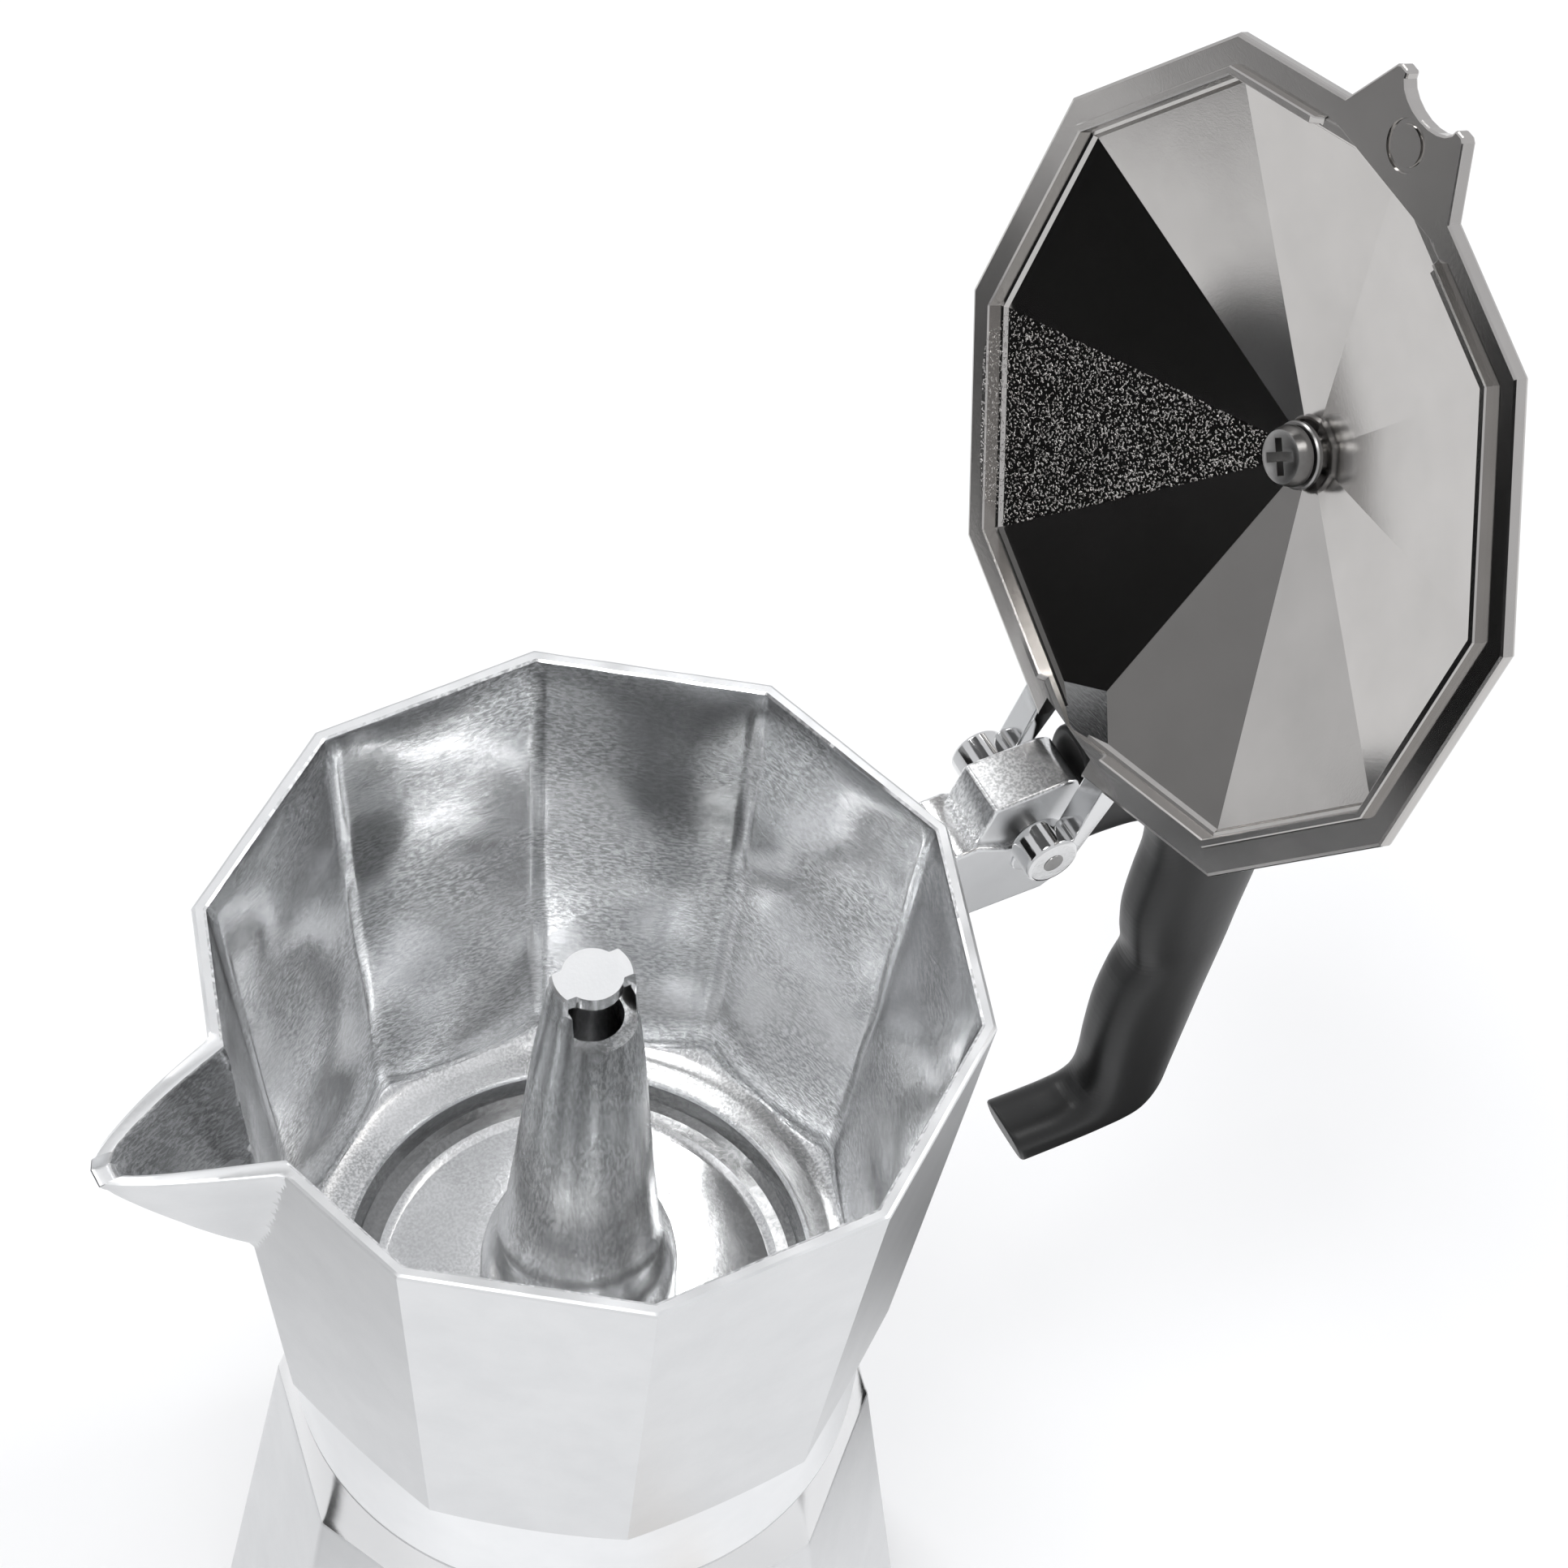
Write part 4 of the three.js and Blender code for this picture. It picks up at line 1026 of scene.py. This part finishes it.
def lid_section():
    slope = (APEX - UNDER - 1.4) / ROOF_R
    rows = [(0, APEX, "round")]
    rows += [(r, APEX - slope * r, "facet") for r in (8, 20, 32, ROOF_R)]
    rows += [
        (ROOF_R + 0.35, UNDER + 0.85, "facet"),
        (RIB_IN - 0.15, UNDER + 0.7, "facet"),
        (RIB_IN, UNDER - 1.0, "rib"),
        (RIB_IN + 0.18, UNDER - 1.2, "rib"),
        (RIB_OUT - 0.18, UNDER - 1.2, "rib"),
        (RIB_OUT, UNDER - 1.0, "rib"),
        (RIB_OUT + 0.15, UNDER, "facet"),
        (LID_R - 0.5, UNDER, "facet"),
        (LID_R - 0.12, UNDER + 0.12, "facet"),
        (LID_R, UNDER + 0.5, "facet"),
        (LID_R, TOP - 0.5, "facet"),
        (LID_R - 0.15, TOP - 0.12, "facet"),
        (LID_R - 0.6, TOP, "facet"),
        (ROOF_R + 2.2, TOP + 0.5, "facet"),
    ]
    rows += [(r, APEX + 0.7 - slope * (r - 5), "facet") for r in (36, 24, 12)]
    rows += [(5, APEX + 0.7, "round"), (0, APEX + 0.7, "round")]
    return rows


def press_lid(r, z, angle, kind):
    pull = facet_pull(angle) if kind != "round" else 1.0
    x, y = r * pull * math.cos(angle), r * pull * math.sin(angle)
    beside_lug = x < 0 and abs(y) < RIB_GAP_AT_LUG
    beside_ears = x > 0 and abs(y) < RIB_GAP_AT_EARS
    if kind == "rib" and (beside_lug or beside_ears):
        z = UNDER + 0.01
    return x, y, z


lid = spun_by_kind(lid_section(), press_lid)

# %% [markdown]
# The lug reaches out over the spout, and its end is notched. It is drawn from above and joined to
# the plate. Then the ring pressed into the lug is cut, and the slot that the knuckle needs.

# %% Lug over the spout
NOTCH_HALF, NOTCH_DEPTH = 5.0, 2.8


def lug_outline():
    """Half of the lug from its root to the notch, mirrored about the spout's line."""
    tip = -LID_R - 5.1
    half = [(-43.5, 11.6), (-46.1, 11.4), (tip + 0.4, 6.9), (tip - 0.02, 6.3), (tip, NOTCH_HALF)]
    for i in range(1, 6):
        turn = math.radians(90 * i / 5)
        y = NOTCH_HALF - NOTCH_HALF * (1 - math.cos(turn))
        half.append((tip + NOTCH_DEPTH * math.sin(turn), y))
    return half + [(x, -y) for x, y in reversed(half[:-1])]


lug = extruded([(x, y, UNDER) for x, y in lug_outline()], (0, 0, TOP - UNDER))
lug = rounded(lug, 0.3, segments=2, over=50)
ring = [(2.3, UNDER - 1), (3.3, UNDER - 1), (3.1, UNDER + 0.35), (2.5, UNDER + 0.35)]
ring = spun(ring, steps=64)
bmesh.ops.translate(ring, verts=ring.verts, vec=((1.5 - LID_R) * MM, 0, 0))
lid = combined(lid, lug, "UNION")
lid = combined(lid, ring, "DIFFERENCE")
slot = block((RIM_R - 4.2, -EAR_IN, RIM_Z - 8), (HINGE.x + 20, EAR_IN, RIM_Z + 12))
lid = combined(lid, slot, "DIFFERENCE")
finish_piece(lid, "lid_plate", "lid", LID_METAL, ["lid"], crease=8, place=SWING)

# %% [markdown]
# The ears reach back from the flange to the hinge pin, and a web fills the corner between them.

# %% Ears and web
BARREL_R = 3.7
EAR_INSET = 0.35  # the ear's sides lie inside the barrel's ends


def ear(side):
    low, high = (EAR_IN, EAR_OUT) if side > 0 else (-EAR_OUT, -EAR_IN)
    outline = [
        (45.0, UNDER + 0.5),
        (45.0, TOP + 1.2),
        (47.0, TOP + 1.7),
        (HINGE.x + 0.6, HINGE.z + BARREL_R - 0.2),
        (HINGE.x, HINGE.z - 1),
        (HINGE.x - 2.4, HINGE.z + 0.2),
        (HINGE.x - 3.2, UNDER + 0.05),
        (46.4, UNDER + 0.05),
    ]
    return together(
        slab(outline, low + EAR_INSET, high - EAR_INSET, 0.35),
        drum(HINGE.x, HINGE.z, BARREL_R, low, high, round_by=0.6),
    )


web = slab(
    [(RIM_R - 4.3, UNDER + 0.3), (RIM_R - 4.3, TOP), (36.8, RIM_Z + 5.6), (36.8, RIM_Z + 4.4)],
    -6.0,
    6.0,
    0.15,
)
ears = together(ear(-1), ear(1), web)
finish_piece(ears, "lid_ears", "lid", POLISHED, place=SWING)

# %% [markdown]
# ## Knob and screw
# A black knob stands on the peak, and a cross-head screw holds it from inside the lid. The cross
# is cut with two crossed blades.

# %% Knob, washer and screw
PEAK = APEX + 1.0
KNOB_H = 23.8
knob = spun(
    [
        (0, PEAK),
        (6.0, PEAK),
        (6.2, PEAK + 0.3),
        (5.8, PEAK + 2.6),
        (6.3, PEAK + 6),
        (7.8, PEAK + 12),
        (9.2, PEAK + 17),
        (9.9, PEAK + 19.6),
        (9.8, PEAK + 21.4),
        (9.0, PEAK + 22.8),
        (7.4, PEAK + 23.4),
        (4.5, PEAK + KNOB_H - 0.1),
        (0, PEAK + KNOB_H),
    ],
    steps=96,
)
finish_piece(knob, "knob_grip", "lid", PLASTIC, ["knob"], crease=50, place=SWING)
HEAD_TOP = APEX - 2.9
HEAD_H = 2.2
SHANK_R, SHANK_LENGTH = 2.0, 16
CROSS_REACH, CROSS_HALF = 2.3, 0.6
head = spun(
    [
        (0, HEAD_TOP - HEAD_H),
        (2.8, HEAD_TOP - HEAD_H),
        (3.3, HEAD_TOP - HEAD_H + 0.2),
        (3.65, HEAD_TOP - 1.1),
        (3.8, HEAD_TOP - 0.5),
        (3.7, HEAD_TOP),
        (SHANK_R, HEAD_TOP),
        (SHANK_R, HEAD_TOP + SHANK_LENGTH),
        (0, HEAD_TOP + SHANK_LENGTH),
    ],
    steps=96,
)
for turn in (45, 135):
    blade_low = (-CROSS_REACH, -CROSS_HALF, HEAD_TOP - HEAD_H - 1)
    blade = block(blade_low, (CROSS_REACH, CROSS_HALF, HEAD_TOP - 0.6))
    bmesh.ops.rotate(blade, verts=blade.verts, matrix=Matrix.Rotation(math.radians(turn), 3, "Z"))
    head = combined(head, blade, "DIFFERENCE")
finish_piece(head, "knob_screw_head", "lid", STEEL, ["knob_screw"], place=SWING)
washer = spun(
    [
        (2.3, HEAD_TOP + 0.3),
        (4.0, HEAD_TOP + 0.3),
        (4.2, HEAD_TOP + 0.5),
        (4.2, HEAD_TOP + 1.0),
        (4.0, HEAD_TOP + 1.2),
        (2.3, HEAD_TOP + 1.2),
    ],
    steps=96,
)
finish_piece(washer, "knob_washer_ring", "lid", STEEL, ["knob_washer"], place=SWING)

# %% [markdown]
# ## The handle
# The handle is a moulding with a hollow for each finger and a turned-in toe. It is lofted: one
# rounded section is carried from station to station, each of which gives the inner and the outer
# edge as (x, height from the rim).

# %% Handle
STATIONS = [
    ((67.1, -11.4), (67.1, 8.2)),
    ((71.6, -11.5), (72.0, 8.4)),
    ((76.2, -12.0), (78.6, 5.4)),
    ((79.5, -13.8), (87.0, 2.6)),
    ((81.5, -17.0), (95.0, -0.4)),
    ((82.5, -21.4), (101.0, -6.0)),
    ((82.6, -26.4), (102.6, -14.5)),
    ((81.8, -32.0), (101.6, -24.0)),
    ((81.2, -38.0), (99.9, -34.0)),
    ((81.6, -43.6), (98.3, -42.0)),
    ((82.3, -48.8), (97.2, -48.2)),
    ((80.7, -53.4), (96.2, -53.8)),
    ((79.4, -59.5), (95.0, -60.2)),
    ((78.9, -67.0), (93.6, -68.0)),
    ((78.8, -73.0), (92.3, -75.0)),
    ((78.1, -76.8), (91.0, -81.6)),
    ((76.2, -78.5), (88.3, -85.4)),
    ((73.4, -79.0), (82.0, -86.1)),
    ((70.0, -78.9), (75.0, -86.0)),
    ((65.8, -78.6), (67.9, -85.7)),
]
HANDLE_HALF = 4.75
SQUARENESS = 2.9  # 2 would be an ellipse
LOFT_STEPS = 5  # between two stations


def station_matrix(inner, outer):
    """Carries the unit section: X runs from the inner to the outer edge, and Y is the width."""
    a = Vector((inner[0], 0, RIM_Z + inner[1]))
    b = Vector((outer[0], 0, RIM_Z + outer[1]))
    across = (b - a) / 2
    along = across.cross(Vector((0, 1, 0)))
    columns = (across, Vector((0, HANDLE_HALF, 0)), along.normalized(), (a + b) / 2)
    matrix = Matrix.Identity(4)
    for i, column in enumerate(columns):
        for j in range(3):
            matrix[j][i] = column[j] * MM
    return matrix


def superellipse(vert):
    """Moves a vertex of the unit circle out towards the square around it."""
    angle = math.atan2(vert.co.y, vert.co.x)
    powers = abs(math.cos(angle)) ** SQUARENESS + abs(math.sin(angle)) ** SQUARENESS
    vert.co *= 1 / powers ** (1 / SQUARENESS)


def between(before, start, end, after, t):
    """A Catmull-Rom curve from start to end."""
    rise, fall = (end - before) / 2, (after - start) / 2
    bend = 3 * (end - start) - 2 * rise - fall
    return start + t * (rise + t * (bend + t * (rise + fall - 2 * (end - start))))


def smooth_stations(parts):
    """The stations with this many steps between each pair, along smooth curves."""
    rows = [Vector((*inner, *outer)) for inner, outer in STATIONS]
    rows = [2 * rows[0] - rows[1], *rows, 2 * rows[-1] - rows[-2]]
    path = []
    for i in range(1, len(rows) - 2):
        path += [between(*rows[i - 1 : i + 3], step / parts) for step in range(parts)]
    path.append(rows[-2])
    return [((row[0], row[1]), (row[2], row[3])) for row in path]


def handle_loft():
    bm = bmesh.new()
    corner = bm.verts.layers.int.new("corner")
    bmesh.ops.create_circle(bm, cap_ends=True, segments=48, radius=1)
    shape = []
    for i, vert in enumerate(bm.verts):
        superellipse(vert)
        vert[corner] = i
        shape.append(vert.co.copy())
    path = smooth_stations(LOFT_STEPS)
    for vert in bm.verts:
        vert.co = station_matrix(*path[0]) @ shape[vert[corner]]
    face = bm.faces[:][0]
    for station in path[1:]:
        matrix = station_matrix(*station)
        grown = bmesh.ops.extrude_face_region(bm, geom=[face])["geom"]
        face = [f for f in grown if isinstance(f, bmesh.types.BMFace)][0]
        for vert in face.verts:
            vert.co = matrix @ shape[vert[corner]]
    bmesh.ops.recalc_face_normals(bm, faces=bm.faces)
    ends = [e for f in bm.faces if len(f.verts) > 4 for e in f.edges]
    return bevelled(bm, ends, 0.5)


grip = handle_loft()
finish_piece(grip, "handle_grip", "collector", PLASTIC, ["handle"], crease=60)

# %% [markdown]
# ## Small CAD parts
# Pins, valve, funnel and seal keep their CAD shape. A copy is merged, flattened where triangles
# share a plane, and given a small bevel, because a real edge always catches some light.


# %% Softened copies
def softened(node, body, material, bevel=0.15, crease=30):
    bm = bmesh.new()
    bm.from_mesh(frame["nodes"][node].data)
    bmesh.ops.remove_doubles(bm, verts=bm.verts, dist=1e-6)
    bmesh.ops.dissolve_limit(
        bm,
        angle_limit=math.radians(1),
        verts=bm.verts,
        edges=bm.edges,
        use_dissolve_boundaries=False,
    )
    rounded(bm, bevel, segments=2, over=40)
    return finish_piece(bm, node + "_piece", body, material, [node], crease=crease)


for node in ("funnel", "funnel_screen"):
    softened(node, "funnel", POLISHED, 0.1)
softened("filter_plate", "seal", POLISHED, 0.1)
softened("gasket", "seal", SILICONE, 0.3)
for node in ("hinge_pin", "handle_pin"):
    softened(node, "collector", STEEL)
for node in ("safety_valve_body", "valve_nut", "valve_cap"):
    softened(node, "boiler", BRASS, 0.2)
softened("valve_washer", "boiler", FIBRE)
for node in ("valve_poppet", "valve_spring"):
    softened(node, "valve", STEEL, 0.05)

# %% [markdown]
# ## Studio
# The pot stands on a pale floor under an even sky, which does most of the lighting. Places and
# sizes in the studio are in metres.

# %% Floor and sky
FLOOR_HALF = 6
SKY_COLOUR = (0.975, 0.98, 1.0, 1)
SKY_STRENGTH = 0.8
ground = bmesh.new()
bmesh.ops.create_grid(ground, x_segments=1, y_segments=1, size=FLOOR_HALF)
floor = baked(ground, "floor")
floor_finish = Finish("pale_floor").set(Base_Color=grey(0.92), Roughness=0.9)
floor.data.materials.append(floor_finish.material)
world = bpy.data.worlds.new("studio")
bpy.context.scene.world = world
world.use_nodes = True
sky = world.node_tree.nodes["Background"].inputs
sky["Color"].default_value = SKY_COLOUR
sky["Strength"].default_value = SKY_STRENGTH
bpy.context.scene.view_settings.view_transform = "Standard"

# %% [markdown]
# Four weak soft boxes give the edges their sparkle. They all face the middle of the pot.

# %% Soft boxes
LIT_PLACE = Vector((0, 0, 0.12))


def soft_box(name, place, width, height, power):
    light = bpy.data.lights.new(name, "AREA")
    light.shape = "RECTANGLE"
    light.size = width
    light.size_y = height
    light.energy = power
    obj = bpy.data.objects.new(name, light)
    bpy.context.scene.collection.objects.link(obj)
    obj.location = Vector(place)
    obj.rotation_euler = (LIT_PLACE - Vector(place)).to_track_quat("-Z", "Y").to_euler()


soft_box("top_box", (-0.25, -0.15, 1.2), 0.35, 0.3, 3)
soft_box("back_box", (-0.2, 0.75, 1.0), 0.3, 0.25, 2)
soft_box("right_box", (0.8, -0.3, 1.0), 0.3, 0.3, 2.5)
soft_box("rear_box", (0.45, 0.6, 1.0), 0.13, 0.13, 0.5)
print("four soft boxes face", list(LIT_PLACE))

# %% [markdown]
# Polished metal shows the room, and a room that is pale all round makes it look flat. So cards
# stand where only reflections show them: the black faces of the lid are the dark card to the left.
# A card is hidden from the camera and from matt surfaces, and casts no shadow.


# %% Cards
def card(name, corners, shade):
    """A sheet of this grey that only reflections show."""
    outline = bmesh.new()
    outline.faces.new([outline.verts.new(corner) for corner in corners])
    sheet = baked(outline, name)
    paper = Finish(name).set(Base_Color=grey(shade), Roughness=1.0, Specular_IOR_Level=0.0)
    sheet.data.materials.append(paper.material)
    sheet.visible_camera = False
    sheet.visible_diffuse = False
    sheet.visible_shadow = False


def upright(low_y, high_y, low_z, high_z, x=-0.4):
    return [(x, low_y, low_z), (x, high_y, low_z), (x, high_y, high_z), (x, low_y, high_z)]


def flat(low_x, high_x, low_y, high_y, z=0.002):
    return [(low_x, low_y, z), (high_x, low_y, z), (high_x, high_y, z), (low_x, high_y, z)]


card("dark_card", upright(-0.08, 0.29, 0, 0.42), 0.01)
card("grey_card", upright(0.29, 0.5, 0.1, 0.42), 0.3)
card("low_card", flat(-0.6, -0.35, 0.17, 0.52), 0.03)
card("ceiling_card", flat(-0.7, 0.14, -0.4, 0.8, z=1.25), 0.12)
card("left_strip", flat(-0.17, -0.11, -0.03, 0.07), 0.08)
card("right_strip", flat(0.09, 0.15, -0.1, 0.03), 0.02)
